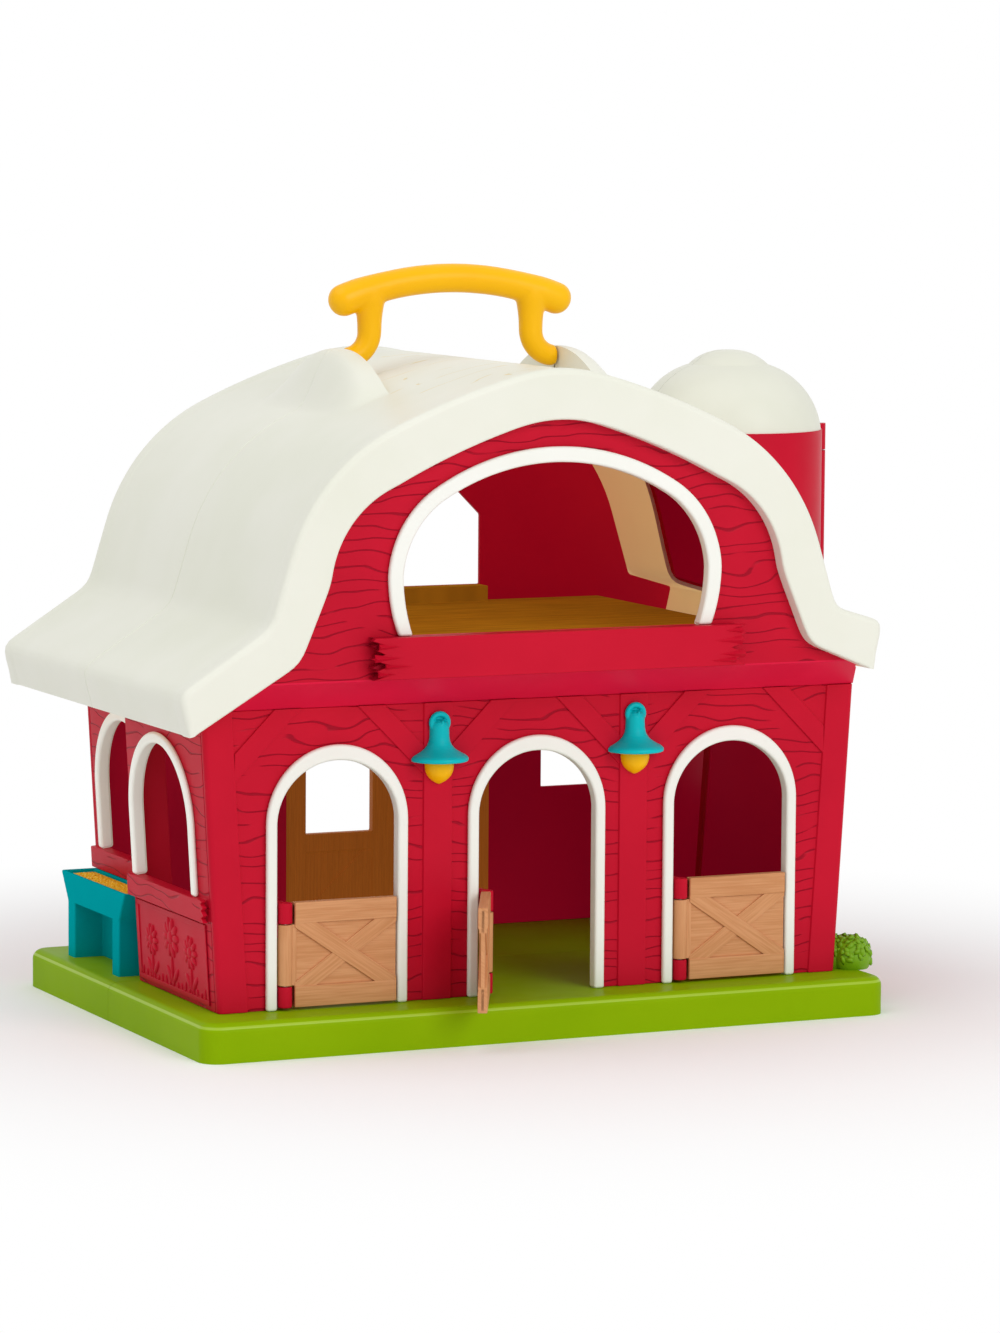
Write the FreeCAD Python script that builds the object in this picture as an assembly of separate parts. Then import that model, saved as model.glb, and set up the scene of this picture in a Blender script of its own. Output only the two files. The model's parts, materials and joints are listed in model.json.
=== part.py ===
import FreeCAD
import Part

import math
import os

V = FreeCAD.Vector

# Base tray. X runs along the front, Y from front to rear, Z up; the origin is under the middle doorway's axis.
wall_half = 154.0          # side wall's outer face at the foot of the wall
base_margin = 15.5         # ledge of the tray outside the side walls
base_depth = 230.6
base_height = 17.7
base_skin = 2.4
base_corner = 9.0
base_edge = 4.5
plate_thickness = 2.0
seam_y = 6.0               # where the front and rear halves meet
seam_gap = 0.3             # clear space between the halves
seat_gap = 0.15            # clear space round pieces that are set into each other
past = 1.0                 # cutting shapes run this far past the faces that they cut

# Walls
panel = 2.6
flare = 3.4                # degrees that the side walls lean outwards
front_ledge = 24.5         # tray in front of the front wall
rear_ledge = 18.3
front_wall_height = 134.3
jetty_reach = 19.2         # the gable overhangs the front wall by this
jetty_rise = 13.0
post_width = 14.0
post_proud = 1.2
rear_inset = 15.0          # the rear half's left wall stands this far inside the front half's

# Doorways and half doors
door_pitch = 97.8
door_half = 29.0           # half width inside the trim
door_spring = 82.7         # foot of the arch above the tray
trim_width = 5.0
trim_proud = 3.2
trim_sleeve = 2.0
trim_depth = 3.2           # how far the sleeve reaches in past the wall's outer face
leaf_height = 47.0
leaf_clear = 1.3           # under the leaf
leaf_thick = 4.4
leaf_panel = 2.4
leaf_rail = 9.5
leaf_brace = 7.0
leaf_lap = 0.4             # one brace lies over the other by this
leaf_forward = 1.5         # leaf's middle in front of the wall's outer face
leaf_side_gap = 0.8
knuckle_radius = 3.25
knuckle_height = 9.4
lug_gap = 0.4              # along the pin, between lug and barrel
lug_web = 2.4
lug_root = 4.0             # lug's foot on the back of the wall
door_pin_radius = 1.2
door_pin_sunk = 0.5        # pin's ends below the lugs' faces
run_gap = 0.06             # radial clearance of a turning fit
middle_leaf_open = 116.0   # degrees, as it stands

# Side windows
window_trim = 5.0
window_sill = 50.5         # sill's top above the tray
window_spring = 81.0
window_corner_front = 19.8 # wall between the barn's front corner and the window
window_corner_rear = 15.5
window_seam_front = 9.0    # wall between the window and the seam
window_seam_rear = 7.5
window_proud = 2.4
window_reveal = 7.0
sill_height = 10.0
sill_proud = 3.4
sill_overrun = 9.0

# Loft
loft_half = 75.0           # widest half opening inside the trim
loft_waist = 193.3         # height of the widest line above the tray
loft_crown = 242.0
loft_foot_half = 70.0
loft_foot = 166.8
loft_trim = 7.0
loft_proud = 3.2
plank_half = 92.5
plank_drop = 18.5
plank_proud = 8.0
plank_tooth = 3.0
plank_teeth = 5
floor_half = 120.0
floor_top = 160.3
floor_thick = 3.5
floor_rest = 5.0

# Roof: heights are above the tray
roof_skin = 3.0
fascia_thick = 7.0
ridge = 283.9
crown_x = 20.0             # the rounded ridge ends here
crown_z = 281.4
haunch_x = 84.0
haunch_z = 257.6
brow_x = 130.5
brow_z = 202.3
knee_x = 139.5
knee_z = 172.8
crown_bow = 1.6            # bow of the upper slope off its chord
brow_bow = 7.5             # bow of the lower slope off its chord
eave_left_x = 182.5
eave_left_z = 145.1
eave_right_x = 164.0
eave_right_z = 165.5
lip_in = 5.0               # the eave's lip leans in
lip_left = 18.4
lip_right = 22.0
fascia_ridge = 22.7        # fascia width at the ridge, then the offsets of its lower edge
fascia_crown = 23.1
fascia_haunch_in = 4.0
fascia_haunch = 24.2
fascia_brow_in = 19.5
fascia_brow = 11.0
fascia_knee_in = 14.0
fascia_knee = 16.0

# Silo and its hinge
silo_radius = 45.0
silo_inset = 9.0           # silo's axis inside the foot of the side wall
silo_height = 247.3
silo_skin = 2.4
dome_rise = 37.3
dome_inset = 0.6
dome_skin = 2.2
dome_knob_radius = 19.0
dome_knob_rise = 6.8
dome_full_out = 0.82       # share of the radius, and of the rise, where the dome bulges most
dome_full_up = 0.62
knob_full_out = 0.6
knob_full_up = 0.74
lobe_margin = 3.4
hinge_radius = 3.5
hinge_offset = 4.0         # pin's axis outside the silo
hinge_pin_radius = 1.5
hinge_web_ease = 0.5       # a knuckle's web is this much thinner than the knuckle's radius
hinge_lower_breaks = [2.0, 58.0, 118.0]
hinge_cap_drop = 11.3      # top knuckle's foot below the silo's rim
hinge_cap_rise = 1.7

# Handle and its mounds
pivot_x = 54.0             # inner face of a mound
pivot_z = 283.3
pivot_pin_radius = 2.0
pivot_reach = 8.0          # pin's length into the foot, and into the mound
foot_gap = 0.4
grip_half = 54.0
grip_end_z = 310.0
grip_top_z = 319.9
grip_radius = 6.8
knob_radius = 7.6
leg_x = 41.0
leg_radius = 5.4
mound_width = 27.0
mound_top = 288.0
mound_round = 2.0          # rounding of a mound's inner top edge
mound_crest = 13.0         # a point on the mound's outer slope: offset from the inner face, and drop
mound_crest_drop = 6.5
mound_half_length = 50.0
boss_rim = 0.5             # pivot boss beyond the leg's radius
boss_reach = 9.6

# Lamps
lamp_x = 48.7
lamp_foot = 108.0
shade_radius = 15.2
shade_height = 9.0
shade_full_out = 0.62      # share of the radius, and of the height, on the shade's flare
shade_full_up = 0.36
neck_radius = 4.7
neck_height = 8.0
ring_radius = 5.6
ring_thick = 3.0
ring_hole = 1.9
bulb_radius = 7.5
bulb_drop = 10.3
bulb_collar = 0.25         # share of the bulb's drop that is straight
bulb_full_out = 0.72
bulb_full_up = 0.72
lamp_stand = 0.5           # lamp's axis in front of its post
lamp_flat = 0.36           # depth of the shade beside its width
bulb_flat = 0.6

# Trough, bush, gate
trough_corner = 5.25       # between the trough and the barn's rear corner
trough_width = 18.0
trough_foot = 26.0
trough_depth = 14.0
trough_wall = 2.0
trough_splay = 1.5         # outwards, over the depth
trough_rake = 11.0         # of the front end, over the depth
trough_rake_rear = 5.0
trough_leg = 9.0
trough_clear = 1.6
feed_drop = 1.6            # feed's level under the rim
bush_x = 166.0
bush_y = -86.0
bush_radius = 9.35
bush_step = 8.5            # spacing of its tufts
bush_lift = 5.3            # tufts' middles above the tray
gate_x = 8.0
gate_half = 53.0
gate_height = 104.0
gate_post = 9.0
gate_thick = 5.0
gate_panel_height = 50.0
rear_window_x = 111.0
rear_window_half = 21.0
rear_window_foot = 66.9
rear_window_height = 46.0
rear_loft_half = 56.0
rear_loft_foot = 168.0
rear_loft_height = 54.0
rear_loft_corner = 20.0

# Base fasteners and snap
screw_inset = 14.0
screw_radius = 1.3
screw_head_radius = 2.8
screw_head_height = 1.4
screw_head_sunk = 0.1
screw_length = 9.0
boss_radius = 4.0
tongue_width = 14.0
tongue_length = 6.0
tongue_height = 5.0
tongue_gap = 0.4

# Places worked out from the sizes above
base_half = wall_half + base_margin
base_front = -base_depth / 2
base_rear = base_depth / 2
wall_front = base_front + front_ledge
wall_rear = base_rear - rear_ledge
gable_front = wall_front - jetty_reach
roof_front_y = gable_front - fascia_thick
silo_x = wall_half - silo_inset
hinge_x = silo_x + silo_radius + hinge_offset
hinge_breaks = hinge_lower_breaks + [silo_height - hinge_cap_drop, silo_height + hinge_cap_rise]
lean_slope = math.tan(math.radians(flare))
front_edge = seam_y - seam_gap / 2
rear_edge = seam_y + seam_gap / 2
far = 4 * base_depth
door_centres = [-door_pitch, 0.0, door_pitch]
door_names = ["left", "middle", "right"]
sides = {"left": -1, "right": 1}
leaf_plane = wall_front - leaf_forward
leaf_axis_offset = door_half - knuckle_radius - leaf_side_gap


def up(height):
    return base_height + height


def box(x0, x1, y0, y1, z0, z1):
    return Part.makeBox(x1 - x0, y1 - y0, z1 - z0, V(x0, y0, z0))


def post(x, y, z0, z1, radius):
    return Part.makeCylinder(radius, z1 - z0, V(x, y, z0), V(0, 0, 1))


def rod_x(x0, x1, y, z, radius):
    low = min(x0, x1)
    return Part.makeCylinder(radius, abs(x1 - x0), V(low, y, z), V(1, 0, 0))


def on_front(y):
    return lambda u, w: V(u, y, w)


def on_side(x):
    return lambda u, w: V(x, u, w)


def outline(start, steps, put):
    """Closed face from a start point and steps: a step is one point for a line, two for an arc."""
    edges = []
    here = put(*start)
    for step in steps + [[start]]:
        there = put(*step[-1])
        if there.distanceToPoint(here) < 1e-6:
            continue
        if len(step) == 2:
            edges.append(Part.Arc(here, put(*step[0]), there).toShape())
        else:
            edges.append(Part.LineSegment(here, there).toShape())
        here = there
    return Part.Face(Part.Wire(edges))


def arch(centre, half, foot, spring, put):
    over = [(centre, spring + half), (centre + half, spring)]
    steps = [[(centre - half, spring)], over, [(centre + half, foot)]]
    return outline((centre - half, foot), steps, put)


def thick_y(face, y0, y1):
    solid = face.extrude(V(0, y1 - y0, 0))
    solid.translate(V(0, y0 - face.BoundBox.YMin, 0))
    return solid


def thick_x(face, x0, x1):
    solid = face.extrude(V(x1 - x0, 0, 0))
    solid.translate(V(x0 - face.BoundBox.XMin, 0, 0))
    return solid


def fuse(first, *others):
    return first.fuse(list(others)).removeSplitter()


def cut(shape, *tools):
    return shape.cut(list(tools))


def lean(shape, side):
    turned = shape.copy()
    turned.rotate(V(side * wall_half, 0, base_height), V(0, 1, 0), side * flare)
    return turned


def before_seam(shape):
    return shape.common(box(-far, far, -far, front_edge, -far, far))


def behind_seam(shape):
    return shape.common(box(-far, far, rear_edge, far, -far, far))


def bowed(p, q, bow):
    """Middle of an arc from p to q that stands off the chord by bow, on the outer side."""
    length = math.hypot(q[0] - p[0], q[1] - p[1])
    side = 1 if (q[0] - p[0]) >= 0 else -1
    return ((p[0] + q[0]) / 2 - side * bow * (q[1] - p[1]) / length,
            (p[1] + q[1]) / 2 + side * bow * (q[0] - p[0]) / length)


# Roof outlines: left and right eaves differ, the slopes between them are alike
def roof_steps(points):
    haunch, brow, knee = points["haunch"], points["brow"], points["knee"]
    crown, top = points["crown"], points["ridge"]

    def flip(p):
        return (-p[0], p[1])

    return [
        [flip(knee)],
        [flip(brow)],
        [bowed(flip(brow), flip(haunch), brow_bow), flip(haunch)],
        [bowed(flip(haunch), flip(crown), crown_bow), flip(crown)],
        [top, crown],
        [bowed(crown, haunch, crown_bow), haunch],
        [bowed(haunch, brow, brow_bow), brow],
        [knee],
    ]


outer_points = {
    "ridge": (0.0, up(ridge)),
    "crown": (crown_x, up(crown_z)),
    "haunch": (haunch_x, up(haunch_z)),
    "brow": (brow_x, up(brow_z)),
    "knee": (knee_x, up(knee_z)),
}
inner_points = {
    "ridge": (0.0, up(ridge - fascia_ridge)),
    "crown": (crown_x, up(crown_z - fascia_crown)),
    "haunch": (haunch_x - fascia_haunch_in, up(haunch_z - fascia_haunch)),
    "brow": (brow_x - fascia_brow_in, up(brow_z - fascia_brow)),
    "knee": (knee_x - fascia_knee_in, up(knee_z - fascia_knee)),
}
left_tip = (-eave_left_x, up(eave_left_z))
left_lip = (-eave_left_x + lip_in, up(eave_left_z - lip_left))
right_tip = (eave_right_x, up(eave_right_z))
right_lip = (eave_right_x - lip_in, up(eave_right_z - lip_right))


def roof_face(y):
    steps = [[left_tip]] + roof_steps(outer_points) + [[right_tip], [right_lip]]
    return outline(left_lip, steps, on_front(y))


def above_lip(tip, lip):
    """The point of an eave's lip that is one skin above its lower edge."""
    share = roof_skin / (tip[1] - lip[1])
    return (lip[0] + (tip[0] - lip[0]) * share, lip[1] + roof_skin)


def under_roof_face(y):
    """The space below the roof's outer surface, between the eaves' lips and then down past the tray's top."""
    left = above_lip(left_tip, left_lip)
    right = above_lip(right_tip, right_lip)
    steps = [[(-far, left[1])], [left], [left_tip]] + roof_steps(outer_points)
    steps += [[right_tip], [right], [(far, right[1])], [(far, 0)]]
    return outline((-far, 0), steps, on_front(y))


def fascia_opening(y):
    steps = [[left_lip]] + roof_steps(inner_points) + [[right_lip], [(right_lip[0], base_height)]]
    return outline((left_lip[0], base_height), steps, on_front(y))


def roof_room(y0, y1, gap=0.0):
    """Everything under the roof's inner surface, kept clear of it by gap."""
    inner = under_roof_face(0.0).makeOffset2D(-(roof_skin + gap))
    return thick_y(inner, y0, y1)


silo_post = post(silo_x, seam_y, -far, far, silo_radius + seat_gap)
silo_core = post(silo_x, seam_y, -far, far, silo_radius - silo_skin)


# Handle mounds: ridges along Y that carry the pivots
def mound(side):
    foot = up(haunch_z)
    top = up(mound_top)
    end = pivot_x + mound_width
    arc = mound_round * (1 - math.sqrt(0.5))
    steps = [
        [(pivot_x, top - mound_round)],
        [(pivot_x + arc, top - arc), (pivot_x + mound_round, top)],
        [(pivot_x + mound_crest, top - mound_crest_drop), (end, foot)],
    ]
    across = thick_y(outline((pivot_x, foot), steps, on_front(0)), -far, far)
    low = seam_y - mound_half_length
    high = seam_y + mound_half_length
    along_steps = [[(seam_y, top), (high, foot)]]
    along = thick_x(outline((low, foot), along_steps, on_side(0)), 0, far)
    shape = across.common(along)
    return shape if side > 0 else shape.mirror(V(0, 0, 0), V(1, 0, 0))


def pivot_boss(side, gap):
    reach = pivot_x + boss_reach + gap
    return rod_x(side * pivot_x, side * reach, seam_y, up(pivot_z), leg_radius + boss_rim + gap)


def pivot_bore(side):
    return rod_x(0, side * (pivot_x + pivot_reach), seam_y, up(pivot_z), pivot_pin_radius + run_gap)


def roof_shell(y0, y1):
    whole = thick_y(roof_face(0), y0, y1)
    return cut(whole, roof_room(y0 - past, y1 + past))


def fascia(y0, y1):
    return cut(thick_y(roof_face(0), y0, y1), thick_y(fascia_opening(0), y0 - past, y1 + past))


def make_roof_front():
    shape = fuse(roof_shell(roof_front_y, front_edge), fascia(roof_front_y, gable_front))
    for side in sides.values():
        shape = fuse(shape, before_seam(mound(side)), pivot_boss(side, 0.0).common(mound(side)))
    room = roof_room(-far, far)
    shape = cut(shape, room.common(box(-far, far, gable_front, far, 0, far)))
    return cut(shape, silo_post, *[pivot_bore(side) for side in sides.values()])


def make_roof_rear():
    shape = fuse(roof_shell(rear_edge, base_rear), fascia(base_rear - fascia_thick, base_rear))
    for side in sides.values():
        shape = fuse(shape, behind_seam(mound(side)))
    notches = [pivot_boss(side, seam_gap + tongue_gap) for side in sides.values()]
    return cut(shape, silo_post, *notches)


# Tray halves
def tray_block(inset, z0, z1, front):
    y0 = base_front + inset if front else rear_edge + inset
    y1 = front_edge - inset if front else base_rear - inset
    body = box(-base_half + inset, base_half - inset, y0, y1, z0, z1)
    lobe = post(silo_x, seam_y, z0, z1, silo_radius + lobe_margin - inset)
    keep = box(-far, far, y0, y1, z0, z1)
    corner_y = y0 if front else y1
    corners = []
    for edge in body.Edges:
        middle = edge.CenterOfMass
        if abs(edge.BoundBox.ZLength - (z1 - z0)) < 1e-6 and abs(middle.y - corner_y) < 1e-6:
            corners.append(edge)
    body = body.makeFillet(base_corner - inset, corners)
    return fuse(body, lobe.common(keep))


def screw_places(front):
    near = base_front + screw_inset if front else base_rear - screw_inset
    far_y = front_edge - screw_inset if front else rear_edge + screw_inset
    reach = base_half - screw_inset
    return [(-reach, near), (0.0, near), (reach, near), (-reach, far_y), (0.0, far_y), (reach, far_y)]


def tongue_places():
    return [-base_half + 2 * screw_inset, -door_pitch / 2]


def tongue_box(x, gap):
    half = tongue_width / 2 + gap
    middle = base_height / 2
    rise = tongue_height / 2 + gap
    y0 = front_edge - base_skin
    y1 = front_edge + tongue_length + gap
    return box(x - half, x + half, y0, y1, middle - rise, middle + rise)


def make_tray(front):
    block = tray_block(0.0, 0.0, base_height, front)
    rim = []
    for edge in block.Edges:
        at_top = abs(edge.BoundBox.ZMin - base_height) < 1e-6
        seam_side = front_edge if front else rear_edge
        on_seam = abs(edge.BoundBox.YMin - seam_side) < 1e-6 and edge.BoundBox.YLength < 1e-6
        if at_top and not on_seam and edge.BoundBox.ZLength < 1e-6:
            rim.append(edge)
    block = block.makeFillet(base_edge, rim)
    hollow = tray_block(base_skin, -past, base_height - base_skin, front)
    shape = cut(block, hollow)
    for x, y in screw_places(front):
        boss = post(x, y, plate_thickness, base_height - base_skin / 2, boss_radius)
        hole = post(x, y, 0, plate_thickness + screw_length + past, screw_radius + run_gap)
        shape = cut(fuse(shape, boss), hole)
    if front:
        return fuse(shape, *[tongue_box(x, 0.0) for x in tongue_places()])
    return cut(shape, *[tongue_box(x, tongue_gap) for x in tongue_places()])


def make_plate(front):
    shape = tray_block(base_skin + seat_gap, 0.0, plate_thickness, front)
    for x, y in screw_places(front):
        hole = post(x, y, -past, plate_thickness + past, screw_radius + seat_gap)
        seat = post(x, y, -past, screw_head_height + screw_head_sunk, screw_head_radius + seat_gap)
        shape = cut(shape, hole, seat)
    return shape


def make_screws(front):
    screws = []
    for x, y in screw_places(front):
        head = post(x, y, screw_head_sunk, screw_head_height, screw_head_radius)
        shank = post(x, y, screw_head_height / 2, plate_thickness + screw_length, screw_radius)
        screws.append(fuse(head, shank))
    return Part.makeCompound(screws)


# Front wall with its doorways and hinge lugs
def leaf_axis(centre):
    return centre - leaf_axis_offset


def lug_spans():
    foot = up(leaf_clear)
    head = foot + leaf_height
    return [(foot, foot + knuckle_height), (head - knuckle_height, head)]


def make_front_wall():
    top = up(front_wall_height)
    reach = wall_half + lean_slope * front_wall_height
    steps = [[(-reach, top)], [(reach, top)], [(wall_half, base_height)]]
    shape = thick_y(outline((-wall_half, base_height), steps, on_front(0)), wall_front, wall_front + panel)
    proud = wall_front - post_proud
    for side in sides.values():
        x0 = side * lamp_x - post_width / 2
        lamp_post = box(x0, x0 + post_width, proud, wall_front + panel, base_height, top)
        foot_in = (side * (wall_half - post_width), base_height)
        head_in = (side * (reach - post_width), top)
        steps = [[(side * reach, top)], [head_in], [foot_in]]
        corner = outline((side * wall_half, base_height), steps, on_front(0))
        shape = fuse(shape, lamp_post, thick_y(corner, proud, wall_front + panel))
    for centre in door_centres:
        foot = base_height - past
        hole = arch(centre, door_half + trim_sleeve + seat_gap, foot, up(door_spring), on_front(0))
        shape = cut(shape, thick_y(hole, proud - past, wall_front + panel + past))
        seat = arch(centre, door_half + trim_width + seat_gap, foot, up(door_spring), on_front(0))
        shape = cut(shape, thick_y(seat, proud - past, wall_front))
        axis = leaf_axis(centre)
        behind = wall_front + trim_depth + seat_gap
        sleeve = centre - door_half - trim_sleeve - seat_gap
        for z0, z1 in lug_spans():
            stem = box(axis - lug_web, axis + lug_web / 2, leaf_plane, behind + lug_web, z0, z1)
            web = box(sleeve - lug_root, axis + lug_web / 2, behind, behind + lug_web, z0, z1)
            root = box(sleeve - lug_root, sleeve, wall_front + panel, behind + lug_web, z0, z1)
            shape = fuse(shape, stem, web, root, post(axis, leaf_plane, z0, z1, knuckle_radius))
        shape = cut(shape, post(axis, leaf_plane, base_height, top, door_pin_radius + run_gap))
    return shape


def make_door_trim(centre):
    spring = up(door_spring)
    ring = thick_y(arch(centre, door_half + trim_width, base_height, spring, on_front(0)),
                   wall_front - trim_proud, wall_front)
    sleeve = thick_y(arch(centre, door_half + trim_sleeve, base_height, spring, on_front(0)),
                     wall_front - trim_proud, wall_front + trim_depth)
    hole = thick_y(arch(centre, door_half, base_height - past, spring, on_front(0)), -far, far)
    return cut(fuse(ring, sleeve), hole)


def make_leaf(centre, opened):
    axis = leaf_axis(centre)
    z0 = up(leaf_clear)
    z1 = z0 + leaf_height
    x0 = axis + knuckle_radius + leaf_side_gap
    x1 = centre + door_half - leaf_side_gap
    half = leaf_thick / 2
    skin = leaf_panel / 2
    y = leaf_plane
    shape = box(x0, x1, y - skin, y + skin, z0, z1)
    rails = [
        box(x0, x1, y - half, y + half, z1 - leaf_rail, z1),
        box(x0, x1, y - half, y + half, z0, z0 + leaf_rail),
    ]
    low = z0 + leaf_rail / 2
    high = z1 - leaf_rail / 2
    room = box(x0, x1, -far, far, low, high)
    for a, b, lap in (((x0, low), (x1, high), leaf_lap), ((x0, high), (x1, low), 0.0)):
        length = math.hypot(b[0] - a[0], b[1] - a[1])
        nx = -(b[1] - a[1]) / length * leaf_brace / 2
        nz = (b[0] - a[0]) / length * leaf_brace / 2
        steps = [[(b[0] + nx, b[1] + nz)], [(b[0] - nx, b[1] - nz)], [(a[0] - nx, a[1] - nz)]]
        bar = outline((a[0] + nx, a[1] + nz), steps, on_front(0))
        rails.append(thick_y(bar, y - half + lap, y + half - lap).common(room))
    (low_lug, high_lug) = lug_spans()
    barrel_low = low_lug[1] + lug_gap
    barrel_high = high_lug[0] - lug_gap
    barrel = post(axis, y, barrel_low, barrel_high, knuckle_radius)
    tie = box(axis, x0 + leaf_lap, y - half + leaf_lap, y + half - leaf_lap, barrel_low, barrel_high)
    shape = fuse(shape, *rails, barrel, tie)
    shape = cut(shape, post(axis, y, base_height, z1 + past, door_pin_radius + run_gap))
    shape.rotate(V(axis, y, 0), V(0, 0, 1), -opened)
    return shape


def make_door_pins():
    pins = []
    for centre in door_centres:
        low = lug_spans()[0][0] + door_pin_sunk
        high = lug_spans()[1][1] - door_pin_sunk
        pins.append(post(leaf_axis(centre), leaf_plane, low, high, door_pin_radius))
    return Part.makeCompound(pins)


# Front gable: the overhanging band, the panel with the loft window, and a rest for the floor
def loft_face(widen, foot, y):
    half = loft_half + widen
    low = loft_foot_half + widen
    waist = up(loft_waist)
    crown = up(loft_crown) + widen
    rise = crown - waist
    spread = math.sqrt(0.5)
    shoulder_l = (-half * spread, waist + rise * spread)
    shoulder_r = (half * spread, waist + rise * spread)
    mid_l = (-half * math.cos(math.pi / 8), waist + rise * math.sin(math.pi / 8))
    mid_r = (half * math.cos(math.pi / 8), waist + rise * math.sin(math.pi / 8))
    steps = [
        [(-(half - (half - low) / 4), (waist + foot) / 2), (-half, waist)],
        [mid_l, shoulder_l],
        [(0, crown), shoulder_r],
        [mid_r, (half, waist)],
        [((half - (half - low) / 4), (waist + foot) / 2), (low, foot)],
    ]
    return outline((-low, foot), steps, on_front(y))


def gable_hole():
    return thick_y(loft_face(seat_gap + trim_sleeve, up(loft_foot), 0), -far, far)


def make_gable():
    foot = up(front_wall_height)
    brow = foot + jetty_rise
    reach = wall_half + lean_slope * (front_wall_height + jetty_rise)
    slab = roof_room(gable_front, gable_front + panel, seat_gap)
    shape = slab.common(box(-reach, reach, -far, far, brow, far))
    steps = [[(gable_front, brow)], [(gable_front, brow + panel)], [(gable_front + panel, brow + panel)],
             [(wall_front + panel, foot + panel)], [(wall_front + panel, foot)]]
    band = thick_x(outline((wall_front, foot), steps, on_side(0)), -reach, reach)
    rest_top = up(floor_top - floor_thick)
    rest = box(-floor_half + floor_rest, floor_half - floor_rest, gable_front + panel / 2,
               gable_front + panel + floor_rest, rest_top - floor_rest, rest_top)
    shape = fuse(shape, band.common(roof_room(-far, far, seat_gap)), rest)
    return cut(shape, gable_hole())


def make_loft_trim():
    foot = up(loft_foot)
    ring = thick_y(loft_face(loft_trim, foot, 0), gable_front - loft_proud, gable_front)
    sleeve = thick_y(loft_face(trim_sleeve, foot, 0), gable_front - loft_proud, gable_front + panel)
    return cut(fuse(ring, sleeve), thick_y(loft_face(0, foot - past, 0), -far, far))


def make_plank():
    top = up(loft_foot)
    low = top - plank_drop
    step = plank_drop / plank_teeth
    right = []
    left = []
    for n in range(plank_teeth):
        right.append([(plank_half - plank_tooth, top - (n + 0.5) * step)])
        right.append([(plank_half, top - (n + 1) * step)])
        left.append([(-plank_half + plank_tooth, low + (n + 0.5) * step)])
        left.append([(-plank_half, low + (n + 1) * step)])
    steps = [[(plank_half, top)]] + right + [[(-plank_half, low)]] + left
    face = outline((-plank_half, top), steps, on_front(0))
    return thick_y(face, gable_front - plank_proud, gable_front)


# Side walls stand upright here and are leaned outwards after their windows are cut
def window_span(front):
    if front:
        return wall_front + window_corner_front, seam_y - window_seam_front
    return seam_y + window_seam_rear, wall_rear - window_corner_rear


def window_face(front, widen, foot, put):
    y0, y1 = window_span(front)
    return arch((y0 + y1) / 2, (y1 - y0) / 2 + widen, foot, up(window_spring), put)


def left_shift(front):
    return 0.0 if front else rear_inset


def wall_span(front):
    if front:
        return wall_front + panel + seat_gap, front_edge
    return rear_edge, wall_rear - panel - seat_gap


def make_side_wall(side_name, front):
    side = sides[side_name]
    y0, y1 = wall_span(front)
    low = min(side * wall_half, side * (wall_half - panel))
    shape = box(low, low + panel, y0, y1, base_height, far)
    if side_name == "left":
        hole = window_face(front, trim_sleeve + seat_gap, up(window_sill), on_side(0))
        shape = cut(shape, thick_x(hole, -far, 0))
        sill_top = up(window_sill)
        run = window_trim + sill_overrun
        low_y, high_y = window_span(front)
        sill = box(-wall_half - sill_proud, -wall_half + panel, max(y0, low_y - run), min(y1, high_y + run),
                   sill_top - sill_height, sill_top)
        shape = fuse(shape, sill)
    shape = lean(shape, side)
    if side_name == "left":
        shape.translate(V(left_shift(front), 0, 0))
        if front:
            inner = -wall_half + rear_inset + panel
            edge = box(-wall_half, inner, front_edge - panel, front_edge, base_height, far)
            shape = fuse(shape, lean(edge, side))
    else:
        shape = cut(shape, silo_post)
        shape = before_seam(shape) if front else behind_seam(shape)
    above_tray = box(-far, far, -far, far, base_height, far)
    return shape.common(roof_room(-far, far, seat_gap)).common(above_tray)


def make_window_trim(front):
    foot = up(window_sill)
    ring = thick_x(window_face(front, window_trim, foot, on_side(0)), -wall_half - window_proud, -wall_half)
    sleeve = window_face(front, trim_sleeve, foot, on_side(0))
    sleeve = thick_x(sleeve, -wall_half - window_proud, -wall_half + window_reveal)
    hole = thick_x(window_face(front, 0.0, foot - past, on_side(0)), -far, 0)
    above_sill = box(-far, far, -far, far, foot + seat_gap, far)
    shape = lean(cut(fuse(ring, sleeve), hole).common(above_sill), -1)
    shape.translate(V(left_shift(front), 0, 0))
    if front:
        shape = shape.common(box(-far, far, -far, front_edge, 0, far))
    return shape


def make_rear_wall():
    left = -wall_half + rear_inset
    top = up(ridge)
    run = lean_slope * ridge
    steps = [[(left - run, top)], [(wall_half + run, top)], [(wall_half, base_height)]]
    slab = thick_y(outline((left, base_height), steps, on_front(0)), wall_rear - panel, wall_rear)
    shape = slab.common(roof_room(-far, far, seat_gap))
    rest_top = up(floor_top - floor_thick)
    rest_half = floor_half - floor_rest
    rest = box(-rest_half, rest_half, wall_rear - panel - floor_rest, wall_rear - panel / 2,
               rest_top - floor_rest, rest_top)
    shape = fuse(shape, rest)
    gate = box(gate_x - gate_half, gate_x + gate_half, -far, far, 0, up(gate_height))
    window = box(rear_window_x - rear_window_half, rear_window_x + rear_window_half, -far, far,
                 up(rear_window_foot), up(rear_window_foot + rear_window_height))
    foot = up(rear_loft_foot)
    head = foot + rear_loft_height
    steps = [[(-rear_loft_half, head - rear_loft_corner)], [(-rear_loft_half + rear_loft_corner, head)],
             [(rear_loft_half - rear_loft_corner, head)], [(rear_loft_half, head - rear_loft_corner)],
             [(rear_loft_half, foot)]]
    loft = thick_y(outline((-rear_loft_half, foot), steps, on_front(0)), -far, far)
    return cut(shape, gate, window, loft)


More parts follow.
